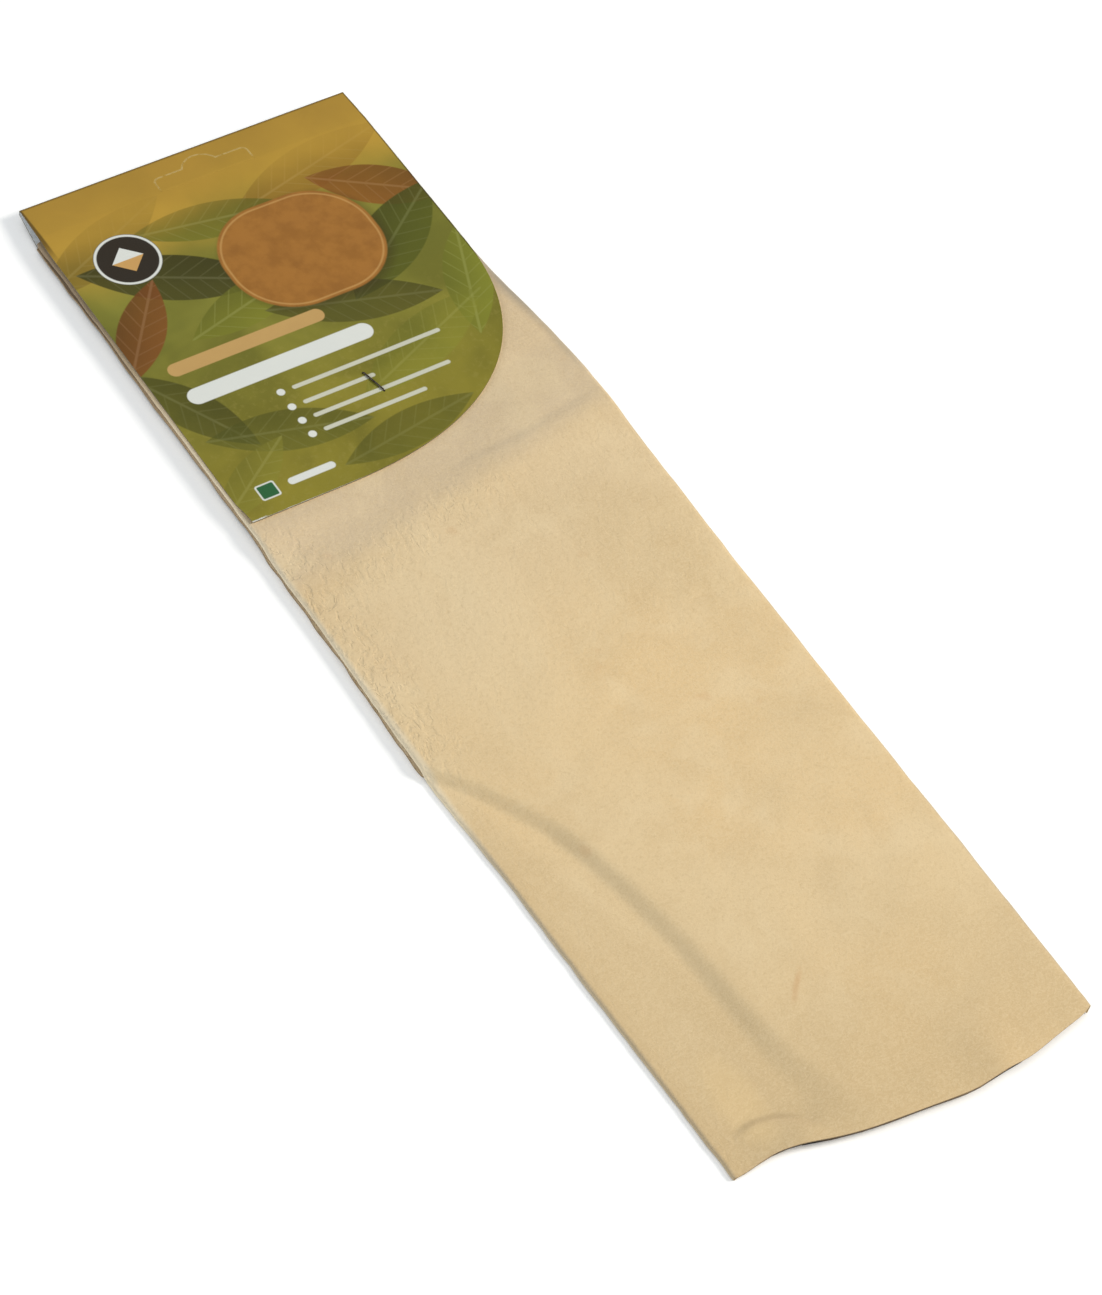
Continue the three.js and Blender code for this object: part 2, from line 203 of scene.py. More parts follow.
class Graph:
    def __init__(self, tree):
        self.tree = tree

    def add(self, kind, **settings):
        node = self.tree.nodes.new("ShaderNode" + kind)
        for name, value in settings.items():
            setattr(node, name, value)
        return node

    def fill(self, node, values):  # the node's inputs, by number or by name with _ for a space
        for key, value in values.items():
            socket = node.inputs[key.replace("_", " ") if isinstance(key, str) else key]
            if isinstance(value, Field):
                self.tree.links.new(value.socket, socket)
            else:
                socket.default_value = value
        return node

    def feed(self, kind, values, output=0, **settings):  # a new node with its inputs, and one output of it
        node = self.fill(self.add(kind, **settings), values)
        return Field(self, node.outputs[output])

    def fields(self, node):
        return {output.name: Field(self, output) for output in node.outputs}

    def math(self, operation, *values, clamp=False):
        return self.feed("Math", dict(enumerate(values)), operation=operation, use_clamp=clamp)

    def larger(self, first, second):
        return self.math("MAXIMUM", first, second)

    def mix(self, share, first, second, blend="MIX"):
        return self.feed("Mix", {0: share, 6: first, 7: second}, 2, data_type="RGBA", blend_type=blend)

    def coat(self, colour, coats):  # colours laid one over the other, each by its own share
        for share, tone in coats:
            colour = self.mix(share, colour, tone)
        return colour

    def noise(self, vector, scale, detail=2.0, roughness=0.5, distortion=0.0):
        values = {"Vector": vector, "Scale": scale, "Detail": detail, "Roughness": roughness}
        return self.feed("TexNoise", {**values, "Distortion": distortion}, "Fac")

    def scaled(self, vector, factors):
        return self.feed("VectorMath", {0: vector, 1: factors}, operation="MULTIPLY")

    def bump(self, height, distance, strength, **normal):
        values = {"Height": height, "Distance": distance, "Strength": strength}
        return self.feed("Bump", {**values, **normal}, "Normal")

    def place(self):
        return self.feed("TexCoord", {}, "Object")

    def split(self, vector):
        return self.fields(self.fill(self.add("SeparateXYZ"), {0: vector}))

    def group(self, name, **values):
        return self.fields(self.fill(self.add("Group", node_tree=groups[name]), values))

    def seen(self):  # 1 for what the camera sees, also in metal and through glass
        rays = self.fields(self.add("LightPath"))
        mirrored = self.larger(rays["Is Glossy Ray"], rays["Is Transmission Ray"])
        return self.larger(rays["Is Camera Ray"], mirrored)


# A value that changes over the surface, so that sums of such values can be written plainly
class Field:
    def __init__(self, graph, socket):
        self.graph, self.socket = graph, socket

    def __add__(self, other):
        return self.graph.math("ADD", self, other)

    def __sub__(self, other):
        return self.graph.math("SUBTRACT", self, other)

    def __rsub__(self, other):
        return self.graph.math("SUBTRACT", other, self)

    def __mul__(self, other):
        return self.graph.math("MULTIPLY", self, other)

    def __truediv__(self, other):
        return self.graph.math("DIVIDE", self, other)

    def __abs__(self):
        return self.graph.math("ABSOLUTE", self)

    def fade(self, low, high, start=0.0, end=1.0):  # from low to high it becomes start to end, softly
        values = dict(enumerate((self, low, high, start, end)))
        return self.graph.feed("MapRange", values, interpolation_type="SMOOTHSTEP")


def newGroup(name, inputs, outputs):  # every socket but Vector is a number
    tree = bpy.data.node_groups.new(name, "ShaderNodeTree")
    for names, direction in ((inputs, "INPUT"), (outputs, "OUTPUT")):
        for socketName in names:
            kind = "NodeSocketVector" if socketName == "Vector" else "NodeSocketFloat"
            tree.interface.new_socket(socketName, in_out=direction, socket_type=kind)
    graph = Graph(tree)
    given = graph.fields(tree.nodes.new("NodeGroupInput"))
    return graph, given, tree.nodes.new("NodeGroupOutput")


def newMaterial(name, **shaderValues):
    material = bpy.data.materials.new(name)
    material.use_nodes = True
    graph = Graph(material.node_tree)
    return material, graph, graph.fill(material.node_tree.nodes["Principled BSDF"], shaderValues)


# Fine fibres of suede and board: a height and a mottle, both from 0 to 1
def buildFibreGroup():
    graph, given, wanted = newGroup("fibres", ("Vector", "Fineness", "Curl"), ("Height", "Mottle"))
    vector, fineness = given["Vector"], given["Fineness"]
    fine = graph.noise(vector, fineness, 3.0, 0.62, 0.6)
    bent = graph.noise(vector, fineness * 0.36, 2.0, 0.5, 1.4)
    mottle = graph.noise(vector, fineness * 0.045, 3.0, 0.55, 0.5)
    graph.fill(wanted, {"Height": fine - abs(bent - 0.5) * given["Curl"], "Mottle": mottle})
    return graph.tree


# The card's own millimetres, x and down, from the object's coordinates
def buildCardPlaceGroup():
    graph, given, wanted = newGroup("cardPlace", ("Vector",), ("X", "Down"))
    split = graph.split(given["Vector"])
    x, down = (split["X"] - middleX) / millimetre, (creaseY - split["Y"]) / millimetre
    graph.fill(wanted, {"X": x, "Down": down})
    return graph.tree


# A bar with round corners: 1 inside and 0 outside, over a soft edge
def buildBarGroup():
    numbers = ("X", "Down", "Centre X", "Centre Down", "Half Width", "Half Height", "Round", "Softness")
    graph, given, wanted = newGroup("roundBar", numbers, ("Mask",))
    corner, softness = given["Round"], given["Softness"]
    sides = []
    for value, centre, half in (("X", "Centre X", "Half Width"), ("Down", "Centre Down", "Half Height")):
        off = abs(given[value] - given[centre])
        sides.append(graph.larger(off - (given[half] - corner), 0.0))
    past = graph.math("SQRT", sides[0] * sides[0] + sides[1] * sides[1]) - corner
    inward = (softness - past) / softness
    graph.fill(wanted, {"Mask": graph.math("MULTIPLY", inward, 0.5, clamp=True)})
    return graph.tree


# A plain pointed leaf between two arcs, with its middle rib and side veins
def buildLeafGroup():
    numbers = ("X", "Down", "Centre X", "Centre Down", "Turn", "Length", "Width")
    graph, given, wanted = newGroup("plainLeaf", numbers, ("Mask", "Veins", "Across"))
    x, up = given["X"] - given["Centre X"], given["Centre Down"] - given["Down"]
    angle = graph.math("RADIANS", given["Turn"])
    cosine, sine = graph.math("COSINE", angle), graph.math("SINE", angle)
    along, across = x * cosine + up * sine, up * cosine - x * sine
    share = along / (given["Length"] * 0.5)
    half = given["Width"] * 0.5 * (1.0 - share * share)
    fromRib = abs(across)
    rib = fromRib.fade(0.15, 0.7, 1.0, 0.0)
    waves = graph.math("SINE", (along - fromRib) * 1.1)
    veins = graph.larger(rib, waves.fade(0.86, 1.0, 0.0, 0.55))
    mask = (half - fromRib).fade(-0.25, 0.35)
    graph.fill(wanted, {"Mask": mask, "Veins": veins, "Across": across.fade(-9.0, 9.0)})
    return graph.tree


# Rubbed places along the straight edges of a printed panel
def buildWearGroup():
    graph, given, wanted = newGroup("edgeWear", ("Vector", "X", "Down", "Reach"), ("Mask",))
    nearest = graph.math("MINIMUM", cardHalf - given["X"], cardHeight - given["Down"])
    nearest = graph.math("MINIMUM", nearest, given["Down"])
    patches = graph.noise(given["Vector"], 260.0, 3.0, 0.65)
    reach = given["Reach"] * patches.fade(0.42, 0.72)
    graph.fill(wanted, {"Mask": (nearest - reach).fade(-0.05, 0.15, 1.0, 0.0)})
    return graph.tree


groups = {
    "fibres": buildFibreGroup(),
    "cardPlace": buildCardPlaceGroup(),
    "roundBar": buildBarGroup(),
    "leaf": buildLeafGroup(),
    "wear": buildWearGroup(),
}
print("node groups ready")


def addStage():
    size = stage["floorSize"] / 2
    corners = np.array([(-size, -size, 0), (size, -size, 0), (size, size, 0), (-size, size, 0)], float)
    floor = newPiece("paleFloor", corners, [(0, 1, 2, 3)])
    material, graph, shader = newMaterial("paleFloor", Roughness=0.9)
    light = display(*stage["floorColour"])
    dim = tuple(value * stage["floorMottle"] for value in light[:3]) + (1.0,)
    colour = graph.mix(graph.noise(graph.place(), 3.0), light, dim)
    openSky = graph.feed("AmbientOcclusion", {"Distance": stage["contactReach"]}, "AO", samples=8)
    away = graph.feed("VectorMath", {0: graph.place()}, "Value", operation="LENGTH")
    lift = openSky.fade(0.1, 0.75) * away.fade(*stage["farFrom"], stage["floorLift"], stage["farLift"])
    lift = graph.seen() * lift
    graph.fill(shader, {"Base Color": colour, "Emission Color": colour, "Emission Strength": lift})
    floor.data.materials.append(material)

    world = bpy.data.worlds.new("paleRoom")
    bpy.context.scene.world = world
    world.use_nodes = True
    graph = Graph(world.node_tree)
    seen = graph.seen()
    colour = graph.mix(seen, display(*stage["worldColour"]), (1.0, 1.0, 1.0, 1.0))
    strength = seen.fade(0.0, 1.0, stage["worldStrength"], 1.0)
    graph.fill(world.node_tree.nodes["Background"], {"Color": colour, "Strength": strength})
    for name, settings in lamps.items():
        addLamp(name, *settings)
    bpy.context.scene.view_settings.view_transform = "Standard"


addCamera()
addStage()
print("camera, floor and lamps ready")


# Chamois skin: one sheet folded lengthwise into four layers, modelled as its middle surface

skin = {
    "thickness": 0.7,
    "layerGap": 0.15,
    "cardGap": 0.2,  # air between the skin and the board on either side of it
    "width": 121.0,  # folded
    "top": (creaseY - skinHigh.y) / millimetre,
    "length": 378.5,  # at the left side
    "meanDrop": 8.0,  # the cut end passes that length by this much on average
    "rows": 262,
    "topColumns": (10, 86, 14),  # along the right side, the middle and the left side of the top layer
    "topShares": (0.045, 0.94),  # the middle's ends, as shares of the way from right to left
    "hiddenColumns": 12,
    "foldColumns": (9, 6, 5),  # round the outer right fold, the left fold and the inner right fold
    "liftShares": (0.0, 0.14, 0.3, 1.0),  # of the top layer's rise, bottom layer first
    "innerEndSet": 0.6,  # each hidden layer ends this far short of the one outside it
    "edgeThinning": 0.5,  # cut edges are this share of the thickness
    "sharpFrom": 60,  # degrees between two faces
}

# Folded sides, as (down, x), and their small waves, as (height, length, seed)
leftSide = [
    (14, -59.9), (43, -59.8), (97, -59.7), (124, -59.7), (175, -59.9), (217, -60.5), (241, -61.2),
    (265, -60.1), (279, -59.3), (328, -58.9), (394, -58.0),
]
rightSide = [
    (14, 59.2), (60, 58.8), (78, 58.9), (91, 59.5), (104, 61.6), (112, 62.4), (122, 62.9), (131, 63.2),
    (142, 62.8), (150, 62.2), (167, 61.4), (189, 61.3), (240, 60.9), (290, 60.6), (337, 60.4), (394, 60.0),
]
leftWaves = [(0.14, 9.0, 3), (0.1, 3.5, 4)]
rightWaves = [(0.12, 11.0, 5), (0.08, 4.0, 6)]

relief = {
    "rampMost": 30.0,  # the skin climbs over at most this length to its ridge
    "ridgeBelow": 18.5,
    "ridgeSlant": 20.0,
    "crest": 2.5,  # rise of the ridge above the skin under the card
    "crestMore": 1.0,  # added towards the right side
    "tail": -0.3,  # the same rise at the cut end
    "settling": 2.2,  # how fast the one turns into the other
    "brow": 0.22,  # added along the ridge's own line
    "broadWaves": (0.34, 0.17),  # heights of the broad, small and fine unevenness
    "smallWaves": (0.09, 0.05),
    "fineWaves": 0.016,
    "pebbles": (0.25, 0.1),
    "cornerSwell": 0.35,  # low swelling near the lower left corner
    "tipLift": 1.5,  # the top layer stands off the others at the right part of the cut end
    "sinkReach": 46.0,  # over this length from the left side the top layer sinks to the pressed stack
    "sideAir": 0.3,  # and stays this far above it
    "furrow": [
        (-66, 236), (-61, 240), (-58.2, 243.7), (-51.4, 252.8), (-45.4, 263.3), (-39.3, 275.3),
        (-35.6, 287.1), (-31.8, 305.1), (-28.8, 324.3), (-27.6, 345.9), (-26.2, 364.5),
        (-23.5, 376), (-14, 402),
    ],
    "furrowWidths": [(236, 3.4), (262, 5.0), (300, 6.2), (350, 7.6), (366, 9.6), (380, 14.0), (402, 30.0)],
    # rise of the fold left of the furrow
    "outerFoldRise": [(236, 0.2), (300, 0.4), (350, 0.6), (378, 0.9), (387, 1.9), (395, 2.5), (402, 2.6)],
    "hiddenEdgeAtEnd": -43.0,
    "hiddenEdgeTurn": (382, 18),  # down where the hidden edges leave the furrow, and over which length
}

# Faint creases: depth, half width, how much higher one side stands, and points (x, down)
creases = [
    (0.42, 2.2, 0.5, [(-57, 143), (-50, 151), (-44, 160), (-36, 174)]),
    (0.26, 1.5, 0.8, [(64, 145), (51, 147), (37, 149), (26, 150.4), (12, 150), (-4, 153)]),
    (0.3, 1.8, 0.3, [(-57, 180), (-46, 190), (-35, 200)]),
    (0.26, 2.6, 0.4, [(-55, 216), (-44, 225), (-30, 236)]),
    (0.16, 3.5, 0.3, [(-39, 265), (-12, 254), (16, 241)]),
    (0.16, 1.4, 0.2, [(36, 227), (44, 226), (52, 228)]),
    (0.5, 1.5, 1.3, [
        (-27, 388.5), (-31.2, 386), (-35.5, 383.3), (-39.7, 381.6), (-43.8, 380.7), (-47, 381), (-52.5, 383),
    ]),
    (0.08, 0.9, 0.0, [(-15, 358), (-9, 352), (-4, 347)]),
    (0.18, 5.0, 0.2, [(-20, 163), (0, 166), (22, 176), (34, 192)]),
    (0.2, 6.0, 0.1, [(30, 300), (12, 322), (2, 345)]),
    (0.18, 7.0, 0.1, [(52, 262), (36, 282), (28, 306)]),
]

# The cut end: how far it passes the lower left corner, at x
cutEnd = [
    (-59, -0.6), (-52, -0.4), (-44, -0.5), (-37, 0.5), (-30, 2.7), (-23, 4.6), (-8, 7.0), (7, 8.9),
    (20, 10.1), (30, 9.4), (39, 7.7), (50, 5.4), (59, 2.9),
]

layerPitch = skin["thickness"] + skin["layerGap"]
skinEnd = skin["top"] + skin["length"]
boardThickness = 0.4
# the top layer's middle surface under the card, and the underside of the skin on the back panel
pressedMiddle = cardTop - boardThickness - skin["cardGap"] - skin["thickness"] / 2
backSeat = cardUnder + boardThickness + skin["cardGap"]

cardCorner = {"across": 86.0, "down": 71.0, "power": 2.4}


def cardEdge(x):  # the card's lower edge at x
    start = cardHalf - cardCorner["across"]
    share = np.clip((x - start) / cardCorner["across"], 0, 1)
    reach = (1 - share ** cardCorner["power"]) ** (1 / cardCorner["power"])
    return cardHeight - cardCorner["down"] * (1 - reach)


def smoothLine(points, place):  # a smooth curve through points that lie at rising places
    steps, reach = 400, 9
    knots = np.array(points, float)
    fine = np.linspace(knots[0, 0], knots[-1, 0], steps)
    line = np.interp(fine, knots[:, 0], knots[:, 1])
    padded = np.concatenate([np.full(reach, line[0]), line, np.full(reach, line[-1])])
    for _ in range(2):
        padded = np.convolve(padded, np.ones(2 * reach + 1) / (2 * reach + 1), "same")
    padded = padded[reach:-reach]
    padded[:reach], padded[-reach:] = line[:reach], line[-reach:]
    return np.interp(place, fine, padded)


def sideEdges(down):
    edges = []
    for points, waves in ((leftSide, leftWaves), (rightSide, rightWaves)):
        edge = smoothLine(points, down)
        for height, size, seed in waves:
            edge = edge + height * softNoise(down, 0, size, seed)
        edges.append(edge)
    return edges


def alongPath(x, down, path):  # signed distance to a line of points, and the share of the way along it
    points = np.array(path, float)
    spans = np.hypot(*np.diff(points, axis=0).T)
    starts = np.concatenate([[0], np.cumsum(spans)])
    best = np.full(np.broadcast(x, down).shape, np.inf)
    side = np.zeros_like(best)
    share = np.zeros_like(best)
    for (ax, ad), (bx, bd), span, start in zip(points[:-1], points[1:], spans, starts):
        run = ((x - ax) * (bx - ax) + (down - ad) * (bd - ad)) / span**2
        held = np.clip(run, 0, 1)
        away = np.hypot(x - ax - held * (bx - ax), down - ad - held * (bd - ad))
        cross = (bx - ax) * (down - ad) - (bd - ad) * (x - ax)
        nearer = away < best
        best = np.where(nearer, away, best)
        side = np.where(nearer, -np.sign(cross), side)
        share = np.where(nearer, (start + held * span) / starts[-1], share)
    return best * side, share


def creaseRelief(x, down):
    total = np.zeros(np.broadcast(x, down).shape)
    for depth, width, step, path in creases:
        away, share = alongPath(x, down, path)
        fade = softStep(share / 0.25) * softStep((1 - share) / 0.3)
        wide = away / width
        total -= fade * depth * hill(wide, 0, 1)
        total += fade * depth * step * np.tanh(wide) * hill(wide, 0, 3.5)
    return total


def alongDown(points, down):  # a value given as (down, value) points
    knots = np.array(points, float)
    return np.interp(down, knots[:, 0], knots[:, 1])


def furrowLine(down):  # middle and width of the furrow's steep side
    middle = alongDown([(place, x) for x, place in relief["furrow"]], down)
    return middle, alongDown(relief["furrowWidths"], down)


def hiddenEdge(down, flatLeft):  # open edges of the hidden layers: along the left side, then under the furrow
    furrowX = furrowLine(down)[0]
    start, length = relief["hiddenEdgeTurn"]
    tucked = furrowX - 0.4 + (relief["hiddenEdgeAtEnd"] - furrowX) * softStep((down - start) / length)
    return np.maximum(flatLeft - 1.0, tucked)


# Height of the top layer's middle surface
def topHeight(x, down, left, right):
    edge = cardEdge(x)
    ridge = cardHeight + relief["ridgeBelow"] - relief["ridgeSlant"] * x / skin["width"]
    ridge = ridge + softNoise(x, 7.0, 16.0, 11)
    start = np.maximum(edge + 0.5, ridge - relief["rampMost"])
    power = 1.0 + 0.1 * softStep((x + 10) / 50)
    ramp = np.maximum((down - start) / (ridge - start), 0) ** power
    climb = -np.log(np.exp(-7 * np.minimum(ramp, 3)) + math.exp(-7)) / 7
    climb = np.clip((climb - climb.min()) / (1 - climb.min()), 0, 1)
    fall = np.clip((down - ridge) / (skinEnd - ridge), 0, 1)
    settled = (1 - np.exp(-relief["settling"] * fall)) / (1 - math.exp(-relief["settling"]))
    crest = relief["crest"] + relief["crestMore"] * softStep((x + 15) / 60)
    crest = crest + (relief["tail"] - crest) * settled
    outside = softStep((down - edge) / 5.0)
    height = pressedMiddle + crest * climb
    height += relief["brow"] * climb * hill(down - ridge, 2, 6)
    height += creaseRelief(x, down) * outside
    wide, middling = relief["broadWaves"]
    broad = softNoise(x, down, 46.0, 21) * wide + softNoise(x + 0.6 * down, down, 24.0, 22) * middling
    wide, middling = relief["smallWaves"]
    small = softNoise(x, down, 11.0, 23) * wide + softNoise(x, down, 5.2, 24) * middling
    height += (broad * climb + small * (0.6 + 0.4 * climb)) * outside
    height += softNoise(x, down / 1.2, 2.7, 25) * relief["fineWaves"] * (1 - 0.6 * climb) * outside
    # pebbled crinkles below the card's left corner, along the left side and on the ridge
    crinkled = hill(x, -54, 16) * softStep((down - 146) / 10) * softStep((258 - down) / 40)
    onRidge = 0.3 * hill(down - ridge, 3, 8) * softStep((25 - x) / 40)
    pebbles = softNoise(x + 3 * softNoise(x, down, 9.0, 33), down / 1.6, 4.4, 31)
    coarse, fine = relief["pebbles"]
    pebbles = coarse * (0.5 - np.abs(pebbles) * 2) + softNoise(x, down, 3.3, 32) * fine
    height += pebbles * np.maximum(crinkled, onRidge) * outside
    height -= 0.25 * np.exp(-(right - x) / 2.0) * climb  # rounds the right fold
    height += relief["cornerSwell"] * hill(x, -22, 9) * hill(down, 388, 12)
    tip = softStep((down - (skinEnd - 26)) / 26)
    return height + tip * relief["tipLift"] * hill(x, 25, 8.5)


def skinGrid():
    thickness = skin["thickness"]
    down = np.linspace(skin["top"], skinEnd, skin["rows"])[:, None]
    left, right = sideEdges(down)
    under = backSeat * (1 - softStep((down - cardHeight - 2) / 14)) + thickness / 2
    outerReach, innerReach, leftReach = 2 * layerPitch, layerPitch / 2, layerPitch
    flatRight = right - thickness / 2 - outerReach
    flatLeft = left + thickness / 2 + leftReach
    hidden = hiddenEdge(down, flatLeft)
    openLow = hidden + 0.5 * softNoise(down, 3.0, 7.0, 41)
    openHigh = hidden + 0.6 + 0.5 * softNoise(down, 9.0, 9.0, 42)
    furrowX, furrowWidth = furrowLine(down)
    foldRise = alongDown(relief["outerFoldRise"], down)

    def cornerRelief(x):  # the arc crease at the lower left corner
        shown = softStep((down - 366) / 8) * softStep((x - flatLeft) / 3)
        return np.maximum(creaseRelief(x, down), -0.4) * shown

    def layerZ(layer, x):
        stack = under + 3 * layerPitch
        top = topHeight(x, down, left, right)
        share = np.clip((x - flatLeft) / relief["sinkReach"], 0, 1)
        sunk = (0.7 * (1 - share) + 0.3 * (1 - softStep(share))) * softStep((down - cardHeight) / 12)
        sunk = sunk * (1 - 0.85 * softStep((down - 232) / 36))
        top = top - sunk * (top - stack - relief["sideAir"])
        raised = np.maximum(top - stack, 0)
        if layer < 2:
            return under + layer * layerPitch + skin["liftShares"][layer] * raised
        z = top if layer == 3 else under + 2 * layerPitch + skin["liftShares"][2] * raised
        # left of the furrow only the outer fold lies on the floor
        wall = softStep((x - furrowX + furrowWidth / 2) / furrowWidth)
        arch = np.clip((x - flatLeft) / np.maximum(hidden - flatLeft, 1.0), 0, 1)
        low = under + (layer - 2) * layerPitch + foldRise * softStep(arch)
        low = low + cornerRelief(x) * (1 - wall)
        z = low + (z - low) * wall
        filled = softStep((x - openLow + 0.5) / 1.0) + softStep((x - openHigh + 0.5) / 1.0)
        return np.maximum(z, under + (filled + layer - 2) * layerPitch)

    xs, zs, drawn = [], [], []

    def addLayer(layer, start, stop, shares):
        x = start + (stop - start) * shares[None, :]
        xs.append(x)
        zs.append(layerZ(layer, x))
        drawn.append(np.full(len(shares), layer))

    def addFold(layer, x, reach, low, high, count):
        angle = np.linspace(-math.pi / 2, math.pi / 2, count + 2)[None, 1:-1]
        xs.append(x + reach * np.cos(angle))
        zs.append((low + high + (high - low) * np.sin(angle)) / 2)
        drawn.append(np.full(count, layer))

    even = np.linspace(0, 1, skin["hiddenColumns"])
    first, middle, last = skin["topColumns"]
    near, far = skin["topShares"]
    spans = [(0, near, first, False), (near, far, middle, False), (far, 1, last, True)]
    fine = np.concatenate([np.linspace(low, high, count, endpoint=end) for low, high, count, end in spans])
    outerCount, leftCount, innerCount = skin["foldColumns"]
    addLayer(0, openLow, flatRight, even)
    addFold(3, flatRight, outerReach, layerZ(0, flatRight), layerZ(3, flatRight), outerCount)
    addLayer(3, flatRight, flatLeft, fine)
    addFold(3, flatLeft, -leftReach, layerZ(3, flatLeft), layerZ(2, flatLeft), leftCount)
    addLayer(2, flatLeft, flatRight, np.sort(1 - fine[::4]))
    addFold(2, flatRight, innerReach, layerZ(2, flatRight), layerZ(1, flatRight), innerCount)
    addLayer(1, flatRight, openHigh, even)

    def joined(parts):
        rows = skin["rows"]
        return np.concatenate([np.broadcast_to(part, (rows, part.shape[1])) for part in parts], axis=1)

    x, z = joined(xs), joined(zs)
    layer = np.concatenate(drawn)[None, :]
    ends = np.array(cutEnd, float)
    curve = np.polynomial.Polynomial.fit(ends[:, 0], ends[:, 1], 8)
    ridgeLow = cardHeight + relief["ridgeBelow"] + relief["ridgeSlant"] / 2
    share = np.clip((down - ridgeLow) / (skinEnd - ridgeLow), 0, 1)
    inner = layer < 3
    short = (3 - layer) * skin["innerEndSet"] + 0.4 * inner * softNoise(x, layer * 50.0, 13.0, 51)
    short = short + inner * 0.9 * softStep((x - 48) / 10) + 0.75 * hill(x, 25, 8)
    drop = curve(np.clip(x, -59.5, 59.5)) - short
    return x, down + share**2 * drop, z, layer == 3


chamois = {  # display colours of the suede
    "plateau": (230, 203, 156),
    "warm": (231, 200, 149),
    "grey": (219, 195, 158),
    "shade": (209, 181, 134),
    "light": (239, 215, 171),
    "stain": (205, 156, 104),
    "cardShadow": (132, 112, 88),
    # painted light on the side of the left fold below the card
    "worn": (232, 216, 184),
    "crease": (176, 150, 110),
    "lighterPatch": (240, 208, 150),
    "foldShade": (146, 138, 124),
}


def skinMaterial():
    material, graph, shader = newMaterial(
        "chamoisSuede", Roughness=0.92, Sheen_Weight=0.2, Sheen_Roughness=0.5, Specular_IOR_Level=0.15
    )
    place = graph.place()
    card = graph.group("cardPlace", Vector=place)
    x, down = card["X"], card["Down"]
    nap = graph.group("fibres", Vector=place, Fineness=950.0, Curl=0.25)
    fuzz = graph.group("fibres", Vector=place, Fineness=1900.0, Curl=0.7)
    clouds = graph.noise(place, 34.0, 4.0, 0.6, 0.6)
    wide = graph.noise(place, 11.0, 2.0, 0.5, 0.2)
    strokes = graph.noise(graph.scaled(place, (0.6, 1.0, 1.0)), 680.0, 3.0, 0.6, 2.2)
    spots = graph.noise(place, 95.0, 1.0)

    def oval(centreX, centreDown, reachX, reachDown):  # 0 in the oval's middle and 1 on its edge
        across, along = (x - centreX) / reachX, (down - centreDown) / reachDown
        return across * across + along * along

    ridgeDown = down + x * 0.165
    # painted shade: the ramp from the card's edge up to the ridge is greyer
    upper = (ridgeDown + clouds * 8.0).fade(158.0, 170.0, 1.0, 0.35) * ridgeDown.fade(175.0, 240.0, 1.0, 0.0)
    fromFurrow = x - ((down - 240.0) * 0.27 - 58.0)
    # the right fold swings out below the card, and the left one is an even line below the furrow's start
    rightFold = down.fade(90.0, 122.0, 59.1, 63.2) + down.fade(134.0, 172.0, 0.0, -1.9)
    past = x - (rightFold + down.fade(170.0, 394.0, 0.0, -1.3))
    inward = x - (down * 0.0125 - 62.98)
    belowFurrow = down.fade(255.0, 280.0)
    arcX, arcDown = x + 44.5, down - 401.4
    fromArc = abs(graph.math("SQRT", arcX * arcX + arcDown * arcDown) - 20.0)
    arcShade = fromArc.fade(0.1, 1.8, 0.36, 0.0) * abs(x + 41.0).fade(5.0, 12.0, 1.0, 0.0)
    fromStreak = abs((down - 352.0) * 0.95 + (x + 9.5))
    alongStreak = abs(down - x - 361.5)
    coats = [
        (upper, "grey"),
        (clouds.fade(0.4, 0.7, 0.0, 0.3), "shade"),
        (nap["Mottle"].fade(0.46, 0.7, 0.0, 0.45), "light"),
        # painted shade, darker towards the cut end
        (down.fade(320.0, 402.0, 0.0, 0.75), "shade"),
        # broad duller and lighter zones
        (oval(38.0, 204.0, 20.0, 28.0).fade(0.1, 1.5, 0.42, 0.0), "shade"),
        (oval(-22.0, 206.0, 22.0, 44.0).fade(0.1, 1.5, 0.4, 0.0), "light"),
        (oval(-30.0, 334.0, 10.0, 34.0).fade(0.1, 1.5, 0.3, 0.0), "shade"),
        # painted shade on the fold left of the furrow, which slopes away from the light
        (fromFurrow.fade(-5.0, 3.0, 0.4, 0.0) * down.fade(238.0, 262.0), "shade"),
        # the brushed nap
        (nap["Height"].fade(0.25, 0.55, 0.38, 0.0), "shade"),
        (fuzz["Height"].fade(0.42, 0.66, 0.0, 0.3), "light"),
        (strokes.fade(0.42, 0.62, 0.0, 0.24), "light"),
        # the left fold: painted shadow of the card beside it, and painted light on its side below the card
        (x.fade(-58.4, -57.2, 0.85, 0.0) * down.fade(40.0, 110.0, 1.0, 0.0), "cardShadow"),
        (x.fade(-59.8, -57.8, 0.8, 0.0) * down.fade(70.0, 120.0), "worn"),
        # painted shade greying and darkening the rounded edges of both folds
        (past.fade(-1.9, -0.1, 0.0, 0.6), "foldShade"),
        (past.fade(-4.5, -1.0) * down.fade(126.0, 142.0, 0.45, 0.0), "foldShade"),
        (inward.fade(0.5, 7.0, 0.35, 0.0) * belowFurrow, "shade"),
        (inward.fade(0.3, 1.7, 0.4, 0.0) * belowFurrow, "foldShade"),
        # a lighter patch, and painted shade along the arc crease, at the lower left corner
        (oval(-43.5, 374.0, 6.5, 16.0).fade(0.1, 1.6, 0.28, 0.0), "lighterPatch"),
        (arcShade * down.fade(390.0, 393.0, 1.0, 0.0), "crease"),
        # a rusty streak near the furrow and a few small stains
        (fromStreak.fade(0.3, 1.8, 1.0, 0.0) * alongStreak.fade(3.0, 11.0, 0.34, 0.0), "stain"),
        (spots.fade(0.72, 0.84, 0.0, 0.2), "stain"),
    ]
    colour = graph.mix(wide.fade(0.36, 0.66), display(*chamois["plateau"]), display(*chamois["warm"]))
    colour = graph.coat(colour, [(share, display(*chamois[tone])) for share, tone in coats])
